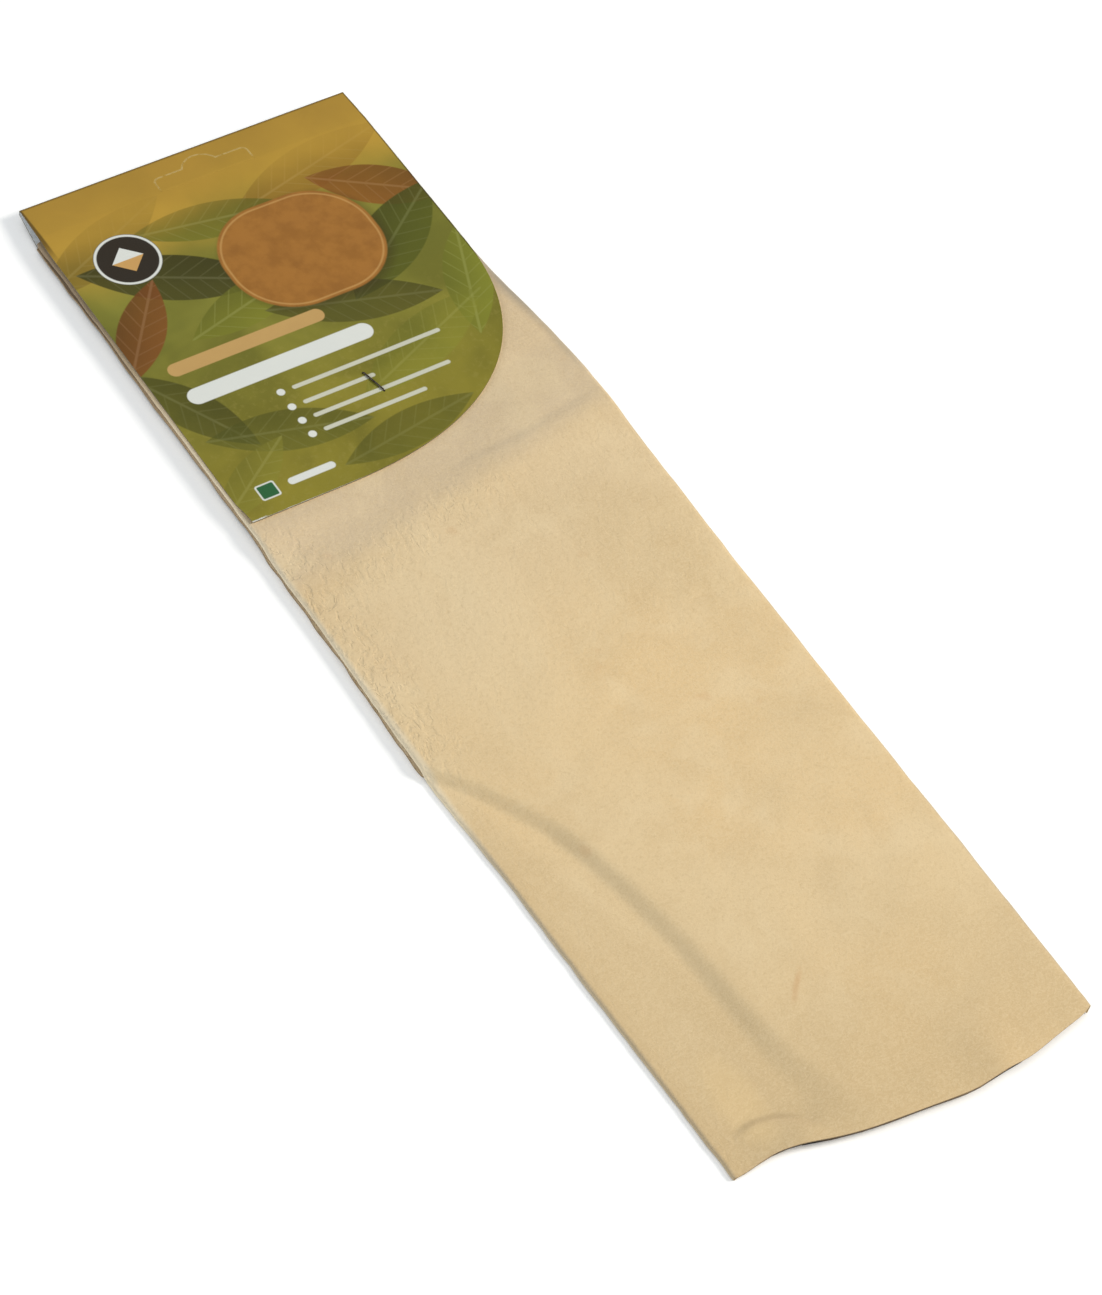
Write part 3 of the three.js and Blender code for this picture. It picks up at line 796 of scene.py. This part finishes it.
    # fine wrinkles, strongest along the left side below the card and on the ridge
    bent = graph.noise(graph.scaled(place, (1.0, 0.6, 1.0)), 380.0, 3.0, 0.6, 0.4)
    beside = x.fade(-57.0, -40.0, 1.0, 0.2) * down.fade(220.0, 262.0, 1.0, 0.2)
    beside = beside * down.fade(140.0, 156.0, 0.2, 1.0)
    alongRidge = abs(ridgeDown - 165.0).fade(3.0, 15.0, 0.55, 0.0) * x.fade(-10.0, 40.0, 1.0, 0.3)
    wrinkles = bent.fade(0.38, 0.56) * graph.larger(beside, alongRidge)
    napNormal = graph.bump(nap["Height"] + fuzz["Height"] * 0.35 + strokes * 0.8, 0.0002, 0.4)
    graph.fill(shader, {
        "Base Color": colour,
        "Roughness": nap["Mottle"].fade(0.3, 0.7, 0.85, 0.98),
        "Normal": graph.bump(wrinkles, 0.0004, 0.54, Normal=napNormal),
    })
    return material


skinCut = {
    # the cut edge gets painted shadow at these slits
    "slits": (-35.5, 26.0),  # x of the places where the top layer stands off the others
    "slitReach": (3.0, 7.5),
    "topLayerFrom": (0.0029, 0.0034),  # metres above the floor
}


def skinEdgeMaterial():
    material, graph, shader = newMaterial("chamoisCutEdge", Roughness=0.95)
    place = graph.place()
    fibres = graph.group("fibres", Vector=place, Fineness=2400.0, Curl=1.0)
    card = graph.group("cardPlace", Vector=place)
    x, down = card["X"], card["Down"]
    # painted shade on the hidden layers' cut edges below the top layer
    hiddenLayerShade = graph.split(place)["Z"].fade(*skinCut["topLayerFrom"], 0.8, 0.0) * x.fade(-47.0, -43.5)
    hiddenLayerShade = hiddenLayerShade * x.fade(50.0, 55.0, 1.0, 0.0) * down.fade(370.0, 385.0)
    # the cut edge is darker than the suede's face, partly its own tone and partly painted shade, and lighter
    # again near the right fold
    colour = graph.mix(fibres["Height"].fade(0.2, 0.7), display(132, 108, 80), display(172, 148, 112))
    coats = [(x.fade(53.0, 57.0, 0.0, 0.8), display(206, 184, 146)), (hiddenLayerShade, display(74, 60, 46))]
    # painted shadow, nearly black, in the slits where the top layer stands off the others
    for slit in skinCut["slits"]:
        slitShadow = abs(x - slit).fade(*skinCut["slitReach"], 1.25, 0.0)
        coats.append((slitShadow * hiddenLayerShade, display(18, 14, 10)))
    colour = graph.coat(colour, coats)
    graph.fill(shader, {"Base Color": colour, "Normal": graph.bump(fibres["Height"], 0.0001, 0.5)})
    return material


def addSkin():
    x, down, z, onTop = skinGrid()
    piece = newPiece("chamoisSkin", toFrame(x, down, z), gridFaces(np.arange(x.size).reshape(x.shape)))
    shell = piece.modifiers.new("thickness", "SOLIDIFY")
    shell.thickness = skin["thickness"] * millimetre
    shell.offset = 0  # the sheet of faces is the skin's middle
    shell.material_offset_rim = 1
    rows, columns = (np.minimum(np.arange(count), np.arange(count)[::-1]) for count in x.shape)
    cut = np.minimum(rows[:, None] / 2, columns[None, :]).clip(0, 1)
    thin = skin["edgeThinning"]
    group = piece.vertex_groups.new(name="body")
    weights = np.where(onTop, thin + (1 - thin) * cut, 1.0).reshape(-1)
    for weight in np.unique(weights):
        group.add(np.flatnonzero(weights == weight).tolist(), float(weight), "REPLACE")
    shell.vertex_group = "body"
    piece.data.materials.append(skinMaterial())
    piece.data.materials.append(skinEdgeMaterial())
    applyModifiers(piece)
    piece.data.shade_smooth()
    piece.data.set_sharp_from_angle(angle=math.radians(skin["sharpFrom"]))
    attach(piece, "pack")
    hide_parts("chamois_skin")
    print("skin", len(piece.data.polygons), "faces")


# Header board: one blank cut flat, then folded over the skin

board = {
    "creaseDown": 0.65,  # the crease's own middle, and its radius at the board's middle line
    "creaseRise": 3.6,
    "creaseRadius": 0.45,
    "panelBend": 13.8,  # the panels slope apart down to here
    "bendRuns": (-0.5, -0.17, 0, 0.17, 0.5),  # where the board's grid is cut on both sides of that bend
    "bow": 0.28,  # the front panel arches up by this much away from its staple
    "bowReach": 26,
    "bowRamp": 20,  # the arch sets in over this length below the bend
    "bowEven": 0.6,  # share of the arch that is even, the rest comes and goes
    "bowWave": 38.0,
    "leftFrom": 40,  # the left sides bulge from this far left of the middle line
    "leftRamp": 18,
    "frontWider": 1.15,  # the front panel's left edge stands out by this much between its corners
    "cornerRamps": (24, 10),  # and returns over these lengths to its upper and lower corner
    "backWider": 0.9,  # the back panel passes the front one by this much at its left side
    "backFlare": 0.6,  # and by this much more next to the crease
    "flareEnd": 16,
    "flareRamp": 10,
    "gridStep": 5.0,
    "cornerSteps": 49,
    "sharpFrom": 32,  # degrees between two faces
}

slot = {
    "offCentre": 1.0,
    "width": 33.0,
    "top": 7.6,
    "hinge": 13.5,
    "endRadius": 2.2,
    "humpRadius": 6.6,
    "humpCentre": 10.4,
    "cut": 0.03,  # gap that the cutting die leaves round a tab
    "endSteps": 10,
    "humpSteps": 28,
    "bead": 0.2,  # radius of the folded edge at the hinge
    "beadShares": (0, 0.3, 0.55, 0.75, 0.9),  # where that edge's grid is cut
    "beadEnd": 0.985,  # the edge is drawn up to this share of the radius
    "tabRuns": [5.0, 6.5, 8.0, 9.5, 11.0, 12.5],  # where a tab's grid is cut
}

staple = {
    "wire": 0.5,
    "crown": 9.8,
    "down": 111.0,
    "across": 2.0,
    "turn": 12.0,
    "bend": 0.75,
    "clinch": 3.1,
    "tipRise": 0.12,  # the clinched ends rise a little from the board
    "tipShare": 0.45,  # and are nipped to a blunt point of this share of the wire
    "flatness": 0.92,  # the wire's depth as a share of its width
    "hole": 0.12,
    "sides": 20,
    "sharpFrom": 50,  # degrees between two faces
}
stapleHalf = staple["crown"] / 2 - staple["wire"] / 2


def stapleSpot(along):  # x and down of a point along the crown
    turn = math.radians(staple["turn"])
    return staple["across"] - along * math.sin(turn), staple["down"] - along * math.cos(turn)


def circlePoints(x, run, radius, count):
    angles = np.linspace(0, 2 * math.pi, count, endpoint=False)
    return [(x + radius * math.cos(a), run + radius * math.sin(a)) for a in angles]


def blankOutline():  # both panels laid flat, the back one at negative runs
    corner = []
    start = cardHalf - cardCorner["across"]
    for angle in np.linspace(0, math.pi / 2, board["cornerSteps"]):
        across = cardCorner["across"] * max(math.cos(angle), 0) ** (2 / cardCorner["power"])
        drop = cardCorner["down"] * math.sin(angle) ** (2 / cardCorner["power"])
        corner.append((start + across, cardHeight - cardCorner["down"] + drop))
    front = corner + [(-cardHalf, cardHeight)]
    back = [(x, -run) for x, run in reversed(front)]
    return front + back


def tabOutline(grow, low):
    middle, half = slot["offCentre"], slot["width"] / 2 + grow
    top = slot["top"] - grow
    hump, end = slot["humpRadius"] + grow, slot["endRadius"] + grow
    humpAngle = math.asin((slot["humpCentre"] - top) / hump)
    arcs = [
        (middle + half - end, top + end, end, 0, math.pi / 2, slot["endSteps"]),
        (middle, slot["humpCentre"], hump, humpAngle, math.pi - humpAngle, slot["humpSteps"]),
        (middle - half + end, top + end, end, math.pi / 2, math.pi, slot["endSteps"]),
    ]
    points = [(middle - half, low), (middle + half, low)]
    for x, run, radius, first, last, steps in arcs:
        for angle in np.linspace(first, last, steps):
            points.append((x + radius * math.cos(angle), run - radius * math.sin(angle)))
    return points


def flatCut(outlines, runLines):  # the board's sheet with holes, as a bmesh of x, run and height
    curve = bpy.data.curves.new("blank", "CURVE")
    curve.dimensions = "2D"
    curve.fill_mode = "BOTH"
    curve.extrude = boardThickness / 2
    for outline in outlines:
        line = curve.splines.new("POLY")
        line.points.add(len(outline) - 1)
        for point, (x, run) in zip(line.points, outline):
            point.co = (x, run, 0, 1)
        line.use_cyclic_u = True
    blank = addObject("blank", curve)
    mesh = finalMesh(blank)
    sheet = bmesh.new()
    sheet.from_mesh(mesh)
    bmesh.ops.remove_doubles(sheet, verts=sheet.verts, dist=1e-4)
    for obj, store in ((blank, bpy.data.objects), (curve, bpy.data.curves), (mesh, bpy.data.meshes)):
        store.remove(obj)

    def cutAt(place, normal):
        everything = sheet.verts[:] + sheet.edges[:] + sheet.faces[:]
        bmesh.ops.bisect_plane(sheet, geom=everything, plane_co=place, plane_no=normal, dist=1e-5)

    for run in runLines:
        cutAt((0, run, 0), (0, 1, 0))
    for x in np.arange(-cardHalf + board["gridStep"], cardHalf, board["gridStep"]):
        cutAt((x, 0, 0), (1, 0, 0))
    bmesh.ops.recalc_face_normals(sheet, faces=sheet.faces)
    return sheet


def foldedPlace(x, run, offset):  # offset is the distance outwards from the board's middle surface
    away, side = np.abs(run), np.where(run < 0, -1.0, 1.0)
    bend, radius, crease = board["panelBend"], board["creaseRadius"], board["creaseDown"]
    flatZ = np.where(side > 0, cardTop - boardThickness / 2, cardUnder + boardThickness / 2)

    def middle(distance):
        angle = np.clip(distance / crease, 0, 1) * math.pi / 2
        down = np.where(distance < crease, crease - radius * np.cos(angle), distance)
        share = np.clip((distance - crease) / (bend - crease), 0, 1)
        topOfCrease = board["creaseRise"] + side * radius * np.sin(angle)
        return down, topOfCrease + (flatZ - topOfCrease) * share

    down, z = middle(away)
    step = 0.02
    lowDown, lowZ = middle(np.maximum(away - step, 0))
    highDown, highZ = middle(away + step)
    spanDown, spanZ = highDown - lowDown, (highZ - lowZ) * side
    span = np.hypot(spanDown, spanZ)
    atCrease = away < 1e-6
    normalDown = np.where(atCrease, -1.0, -spanZ / span)
    normalZ = np.where(atCrease, 0.0, spanDown / span)
    z = z + side * normalZ * offset
    fromStaple = np.hypot(x - staple["across"], away - staple["down"])
    setIn, even = softStep((away - bend) / board["bowRamp"]), board["bowEven"]
    arch = board["bow"] * (1 - hill(fromStaple, 0, board["bowReach"])) * setIn
    arch = arch * (even + (1 - even) * softNoise(x, away, board["bowWave"], 61)) * (side > 0)
    nearLeft = softStep((-x - board["leftFrom"]) / board["leftRamp"])
    flare = softStep((board["flareEnd"] - away) / board["flareRamp"])
    spread = board["backWider"] + board["backFlare"] * flare
    wider = nearLeft * spread * softStep(away / 2) * (side < 0)
    upper, lower = board["cornerRamps"]
    between = softStep(away / upper) * softStep((cardHeight - away) / lower)
    wider = wider + nearLeft * board["frontWider"] * between * (side > 0)
    return x - wider, down + normalDown * offset, z + arch


def foldSheet(name, sheet, finishes):
    flatNormals = [face.normal.z for face in sheet.faces]
    middles = [face.calc_center_median().y for face in sheet.faces]
    flat = np.array([vert.co for vert in sheet.verts])
    for vert, place in zip(sheet.verts, toFrame(*foldedPlace(*flat.T))):
        vert.co = place
    for face, up, run in zip(sheet.faces, flatNormals, middles):
        finish = "edge"
        if up > 0.5:
            finish = "front" if run > 0 else "back"
        elif up < -0.5:
            finish = "inside"
        face.material_index = list(finishes).index(finish)
    bmesh.ops.recalc_face_normals(sheet, faces=sheet.faces)
    mesh = bpy.data.meshes.new(name)
    sheet.to_mesh(mesh)
    sheet.free()
    mesh.shade_smooth()
    mesh.set_sharp_from_angle(angle=math.radians(board["sharpFrom"]))
    for material in finishes.values():
        mesh.materials.append(material)
    return addObject(name, mesh)


def printMaterial(name, buildArt):
    material, graph, shader = newMaterial(name, Roughness=0.7, Coat_Roughness=0.4, Specular_IOR_Level=0.1)
    place = graph.place()
    card = graph.group("cardPlace", Vector=place)
    x, down = card["X"], card["Down"]
    fibres = graph.group("fibres", Vector=place, Fineness=1700.0, Curl=0.3)
    mottle = fibres["Mottle"].fade(0.3, 0.7, 0.0, 0.1)
    colour = graph.mix(mottle, buildArt(graph, place, x, down), display(255, 246, 225), "SOFT_LIGHT")
    fromLeft, fromRight = x + cardHalf, cardHalf - x
    # painted shade: a dark line along the crease, the right edge and the upper part of the left edge
    rim = graph.larger(down.fade(0.2, 1.4, 0.8, 0.0), fromRight.fade(0.25, 0.7, 0.7, 0.0))
    rim = graph.larger(rim, fromLeft.fade(0.15, 0.8, 0.75, 0.0) * down.fade(15.0, 28.0, 1.0, 0.0))
    wear = graph.group("wear", Vector=place, X=x, Down=down, Reach=0.12)["Mask"]
    scuffs = cardHeight - down + graph.noise(place, 900.0, 3.0, 0.7) * 0.8
    worn = graph.larger(wear, scuffs.fade(0.7, 1.1, 1.0, 0.0) * fromLeft.fade(3.0, 6.0, 1.0, 0.0))
    surface = fibres["Height"] + graph.noise(place, 60.0) * 3.0 - worn * 0.8
    graph.fill(shader, {
        "Base Color": graph.coat(colour, [(rim, display(62, 46, 24)), (worn, display(214, 212, 200))]),
        "Coat Weight": (1.0 - worn) * 0.05,
        "Roughness": fibres["Mottle"].fade(0.3, 0.7, 0.6, 0.74),
        "Normal": graph.bump(surface, 0.00003, 0.6),
    })
    return material


frontArt = {
    "goldTop": (178, 140, 58),
    "gold": (188, 150, 60),
    "ground": (132, 130, 54),
    "low": (140, 130, 48),
    "clouds": (72, 74, 26),
    "flecks": (152, 142, 70),
    "fadeFrom": 17.0,
    "fadeTo": 52.0,
    "tan": (164, 112, 52),
    "tanShade": (150, 101, 46),
    "tanLine": (206, 160, 96),
    "tanShadow": (58, 44, 22),
    "tanOval": (11.0, 54.0, 26.0, 22.0),  # centre x, centre down, half width, half height
    "badge": (-39.0, 34.0, 10.6),  # centre x, centre down, radius
    "badgeGround": (46, 40, 32),
    "pale": (226, 228, 220),
    "tanBar": (-24.0, 80.0, 27.0, 2.6),  # centre x, centre down, half width, half height
    "tanBarTone": (196, 158, 98),
    "paleBar": (-19.0, 92.0, 32.0, 3.2),
    "lines": [(102.0, 31.0), (108.5, 4.0), (114.5, 27.0), (120.5, 15.0)],  # down, and x of the right end
    "lineStart": -21.0,
    "lineHalf": 0.75,
    "lineTone": (206, 206, 186),
    "dotAway": 4.0,  # each line starts with a dot this far before it
    "dotHalf": 1.3,
    "swatch": (-48.0, 133.5, 3.2, 3.0),
    "swatchRim": 0.5,
    "swatchTone": (46, 96, 58),
    "swatchBar": (-33.0, 133.5, 8.0, 1.3),
    "tabLine": (212, 190, 128),
    "tabLineHalf": 0.3,
}

# centre x, centre down, turn, length, width, colour, cover
leaves = [
    (-44, 26, 24, 58, 17, (126, 104, 40), 0.7),
    (30, 25, 14, 64, 18, (150, 112, 42), 0.75),
    (-8, 31, -10, 54, 15, (112, 112, 40), 0.85),
    (46, 41, -34, 46, 17, (140, 86, 36), 0.85),
    (-30, 47, -28, 60, 19, (72, 70, 30), 0.95),
    (-50, 62, 52, 44, 15, (128, 78, 36), 0.9),
    (38, 63, 36, 58, 20, (84, 88, 30), 0.9),
    (-14, 66, 14, 50, 16, (124, 126, 44), 0.8),
    (14, 80, -18, 56, 17, (76, 74, 30), 0.75),
    (50, 88, 68, 46, 15, (132, 136, 48), 0.8),
    (-52, 96, -62, 48, 15, (82, 82, 32), 0.8),
    (24, 104, 22, 60, 18, (134, 136, 48), 0.5),
    (-30, 116, -16, 52, 16, (92, 94, 36), 0.65),
    (-50, 128, 34, 40, 13, (138, 134, 50), 0.6),
    (2, 132, 8, 50, 14, (90, 92, 34), 0.6),
]


def barMask(graph, x, down, centreX, centreDown, halfWidth, halfHeight, corner=None, softness=0.18):
    corner = min(halfWidth, halfHeight) if corner is None else corner
    values = {"Centre X": centreX, "Centre Down": centreDown, "Round": corner, "Softness": softness}
    values.update({"X": x, "Down": down, "Half Width": halfWidth, "Half Height": halfHeight})
    return graph.group("roundBar", **values)["Mask"]


def leafLook(graph, x, down, leaf, side):  # mask and colour of one leaf, mirrored where side is -1
    centreX, centreDown, turn, length, width, shade, _ = leaf
    values = {"Centre X": side * centreX, "Centre Down": centreDown, "Turn": side * turn}
    parts = graph.group("leaf", X=x, Down=down, Length=length, Width=width, **values)
    body = display(*shade)
    if side > 0:
        body = graph.mix(parts["Across"], body, display(*(value * 0.8 for value in shade)))
    light = display(*(value + (255 - value) * 0.16 for value in shade))
    return parts["Mask"], graph.mix(parts["Veins"] * 0.6, body, light)


def buildFrontArt(graph, place, x, down):
    art = frontArt

    def tone(name):
        return display(*art[name])

    def bar(*sizes):
        return barMask(graph, x, down, *sizes)

    clouds = graph.noise(place, 26.0, 3.0, 0.55, 0.5)
    shifted = down + (clouds - 0.5) * 22.0
    gold = graph.mix(down.fade(2.0, 26.0), tone("goldTop"), tone("gold"))
    ground = graph.mix(down.fade(60.0, 130.0), tone("ground"), tone("low"))
    colour = graph.mix(shifted.fade(art["fadeFrom"], art["fadeTo"]), gold, ground)
    cloudy = clouds.fade(0.36, 0.66) * down.fade(12.0, 60.0, 0.1, 0.45)
    flecks = graph.noise(place, 520.0, 3.0, 0.65).fade(0.5, 0.72, 0.0, 0.3) * down.fade(70.0, 100.0)
    colour = graph.coat(colour, [(cloudy, tone("clouds")), (flecks, tone("flecks"))])
    fadeIn = down.fade(14.0, 34.0, 0.15, 1.0)
    for leaf in leaves:
        mask, body = leafLook(graph, x, down, leaf, 1)
        colour = graph.mix(mask * fadeIn * leaf[-1], colour, body)

    ovalX, ovalDown, ovalWide, ovalHigh = art["tanOval"]

    def oval(inset, softness=0.3, right=0.0, below=0.0):
        wide, high = ovalWide - inset, ovalHigh - inset
        return bar(ovalX + right, ovalDown + below, wide, high, high - 2, softness)

    badgeX, badgeDown, radius = art["badge"]

    def disc(inset):
        return bar(badgeX, badgeDown, radius - inset, radius - inset)

    suede = graph.mix(graph.noise(place, 160.0, 3.0, 0.6).fade(0.35, 0.7), tone("tan"), tone("tanShade"))
    diamond = (abs(x - badgeX) + abs(down - badgeDown)).fade(5.2, 5.6, 1.0, 0.0)
    folded = graph.mix((down - badgeDown).fade(-0.15, 0.15), tone("pale"), tone("tanLine"))
    coats = [
        (oval(0.0, 2.4, 0.9, 1.2) * 0.6, tone("tanShadow")),
        (oval(0.0), suede),
        ((1.0 - oval(1.4)) * oval(0.9) * 0.7, tone("tanLine")),
        (disc(0.0), tone("badgeGround")),
        (disc(0.15) * (1.0 - disc(1.0)), tone("pale")),
        (diamond, folded),
        (bar(*art["tanBar"]), tone("tanBarTone")),
        (bar(*art["paleBar"]), tone("pale")),
    ]
    start = art["lineStart"]
    for lineDown, lineEnd in art["lines"]:
        line = bar((start + lineEnd) / 2, lineDown, (lineEnd - start) / 2, art["lineHalf"])
        dot = bar(start - art["dotAway"], lineDown, art["dotHalf"], art["dotHalf"])
        coats += [(line, tone("lineTone")), (dot, tone("pale"))]
    swatchX, swatchDown, wide, high = art["swatch"]
    rim = art["swatchRim"]
    coats += [
        (bar(*art["swatch"], 0.8), tone("pale")),
        (bar(swatchX, swatchDown, wide - rim, high - rim, 0.5), tone("swatchTone")),
        (bar(*art["swatchBar"]), tone("pale")),
    ]

    # the cutting die leaves a pale fuzzy line round the tab
    boxHalf = 4.0

    def tabMask(grow):
        middle, half = slot["offCentre"], slot["width"] / 2 + grow
        corner, hump = slot["endRadius"] + min(grow, 0.0), slot["humpRadius"] + grow
        box = bar(middle, slot["top"] + boxHalf, half, boxHalf + grow, corner, 0.1)
        return graph.larger(box, bar(middle, slot["humpCentre"], hump, hump, hump, 0.1))

    outer, inner = tabMask(art["tabLineHalf"]), tabMask(-art["tabLineHalf"])
    cut = graph.math("SUBTRACT", outer, inner, clamp=True) * down.fade(11.5, 13.3, 0.55, 0.0)
    fuzz = graph.noise(place, 700.0, 2.0, 0.6).fade(0.3, 0.6)
    return graph.coat(colour, coats + [(cut * fuzz, tone("tabLine"))])


backArt = {
    "light": (112, 108, 48),
    "dark": (92, 88, 42),
    "leafShare": 0.6,  # the leaves cover this much less than in front
    "panel": (-4.0, 64.0, 44.0, 36.0, 6.0, 0.2),  # centre, half sizes, corner radius and softness
    "panelTone": (224, 214, 184),
}


def buildBackArt(graph, place, x, down):
    clouds = graph.noise(place, 26.0, 3.0, 0.55, 0.5)
    colour = graph.mix(clouds.fade(0.35, 0.68), display(*backArt["light"]), display(*backArt["dark"]))
    for leaf in leaves[::2]:
        mask, body = leafLook(graph, x, down, leaf, -1)
        colour = graph.mix(mask * (leaf[-1] * backArt["leafShare"]), colour, body)
    return graph.mix(barMask(graph, x, down, *backArt["panel"]), colour, display(*backArt["panelTone"]))


def boardMaterial(name, light, dark, fineness):
    material, graph, shader = newMaterial(name, Roughness=0.9)
    fibres = graph.group("fibres", Vector=graph.place(), Fineness=fineness, Curl=0.8)
    colour = graph.mix(fibres["Height"].fade(0.2, 0.6), display(*dark), display(*light))
    colour = graph.mix(fibres["Mottle"].fade(0.35, 0.7, 0.0, 0.4), colour, display(*dark))
    graph.fill(shader, {"Base Color": colour, "Normal": graph.bump(fibres["Height"], 0.00003, 0.6)})
    return material


def addBoardAndTabs():
    finishes = {
        "front": printMaterial("printedFront", buildFrontArt),
        "back": printMaterial("printedBack", buildBackArt),
        "inside": boardMaterial("bareBoard", (242, 243, 242), (230, 231, 229), 1200.0),
        # the cut edges are dark, partly an inked edge and partly painted shade
        "edge": boardMaterial("boardCutEdge", (124, 114, 92), (88, 78, 60), 2600.0),
    }
    bend, step = board["panelBend"], board["gridStep"]
    runLines = [board["creaseDown"] * part / 7 for part in range(-7, 8)]
    bendRuns = [bend + past for past in board["bendRuns"]]
    for runs in (bendRuns, list(np.arange(bend + step, cardHeight, step))):
        runLines += runs + [-run for run in runs]
    opening = tabOutline(slot["cut"], slot["hinge"] + slot["bead"] + slot["cut"])
    outlines = [blankOutline(), opening, [(x, -run) for x, run in opening]]
    holeRadius = staple["wire"] / 2 + staple["hole"]
    for along in (-stapleHalf, stapleHalf):
        x, down = stapleSpot(along)
        for side in (1, -1):
            outlines.append(circlePoints(x, side * down, holeRadius, staple["sides"]))
    piece = foldSheet("headerBoard", flatCut(outlines, runLines), finishes)
    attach(piece, "pack")
    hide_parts("header_card")
    print("header board", len(piece.data.polygons), "faces")

    bead, hinge = slot["bead"], slot["hinge"]
    tabRuns = [hinge + bead * share for share in slot["beadShares"]] + slot["tabRuns"]
    outline = tabOutline(0, hinge + bead * slot["beadEnd"])
    for name, body, node, side in (
        ("frontHangTab", "front_tab", "front_hang_tab", 1),
        ("backHangTab", "back_tab", "back_hang_tab", -1),
    ):
        sheet = flatCut([[(x, side * run) for x, run in outline]], [side * run for run in tabRuns])
        for vert in sheet.verts:  # the hinge edge is half round
            past = max(abs(vert.co.y) - hinge, 0) / bead
            vert.co.z *= math.sqrt(1 - min(past, slot["beadEnd"]) ** 2)
        piece = foldSheet(name, sheet, finishes)
        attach(piece, body)
        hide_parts(node)
    print("hang tabs ready")


def staplePath():  # places along the bent wire, as distance along the crown and height
    low, bend, clinch = staple["wire"] / 2, staple["bend"], staple["clinch"]
    high, tip = stapleHigh.z / millimetre - low, low + staple["tipRise"]
    corners = [(stapleHalf - bend - clinch, tip), (stapleHalf, low), (stapleHalf, high)]
    corners += [(-along, z) for along, z in reversed(corners)]
    corners = np.array(corners, float)
    points = [corners[0]]
    shares = np.linspace(0, 1, 7)[1:]

    def unit(span):
        return span / np.linalg.norm(span)

    def goTo(place, shares):
        start = points[-1]
        points.extend(start + (place - start) * share for share in shares)

    for before, corner, after in zip(corners[:-2], corners[1:-1], corners[2:]):
        first, last = (corner + unit(end - corner) * bend for end in (before, after))
        goTo(first, shares[:-1])
        for share in np.linspace(0, 1, 9):
            points.append((1 - share) ** 2 * first + 2 * share * (1 - share) * corner + share**2 * last)
    goTo(corners[-1], shares)
    return np.array(points)


def steelMaterial():
    material, graph, shader = newMaterial("stapleSteel", Metallic=1.0, Roughness=0.35)
    place = graph.place()
    streaks = graph.noise(graph.scaled(place, (1.0, 0.15, 1.0)), 9000.0, 2.0, 0.6)
    tarnish = graph.noise(place, 700.0, 3.0, 0.6)
    graph.fill(shader, {
        "Base Color": graph.mix(tarnish.fade(0.35, 0.65), display(78, 72, 66), display(46, 40, 35)),
        "Roughness": streaks.fade(0.3, 0.7, 0.28, 0.5),
        "Normal": graph.bump(streaks, 0.00001, 0.4),
    })
    return material


def addStaple():
    path = staplePath()
    tangents = np.gradient(path, axis=0)
    tangents /= np.linalg.norm(tangents, axis=1)[:, None]
    sides = staple["sides"]
    angles = np.linspace(0, 2 * math.pi, sides, endpoint=False)
    radius = np.full(len(path), staple["wire"] / 2)
    radius[[0, -1]] *= staple["tipShare"]
    across = radius[:, None] * np.cos(angles)[None, :]
    inward = staple["flatness"] * radius[:, None] * np.sin(angles)[None, :]
    along = path[:, :1] - tangents[:, 1:] * inward
    z = path[:, 1:] + tangents[:, :1] * inward
    turn = math.radians(staple["turn"])
    x = staple["across"] + across * math.cos(turn) - along * math.sin(turn)
    down = staple["down"] - across * math.sin(turn) - along * math.cos(turn)
    rings = np.arange(x.size).reshape(x.shape)
    faces = gridFaces(np.append(rings, rings[:, :1], axis=1))
    faces += [rings[0, ::-1].tolist(), rings[-1].tolist()]
    piece = newPiece("wireStaple", toFrame(x, down, z), faces)
    sheet = bmesh.new()
    sheet.from_mesh(piece.data)
    bmesh.ops.recalc_face_normals(sheet, faces=sheet.faces)
    sheet.to_mesh(piece.data)
    sheet.free()
    piece.data.shade_smooth()
    piece.data.set_sharp_from_angle(angle=math.radians(staple["sharpFrom"]))
    piece.data.materials.append(steelMaterial())
    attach(piece, "pack")
    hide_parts("staple")
    print("staple ready")


addBoardAndTabs()
addStaple()
addSkin()
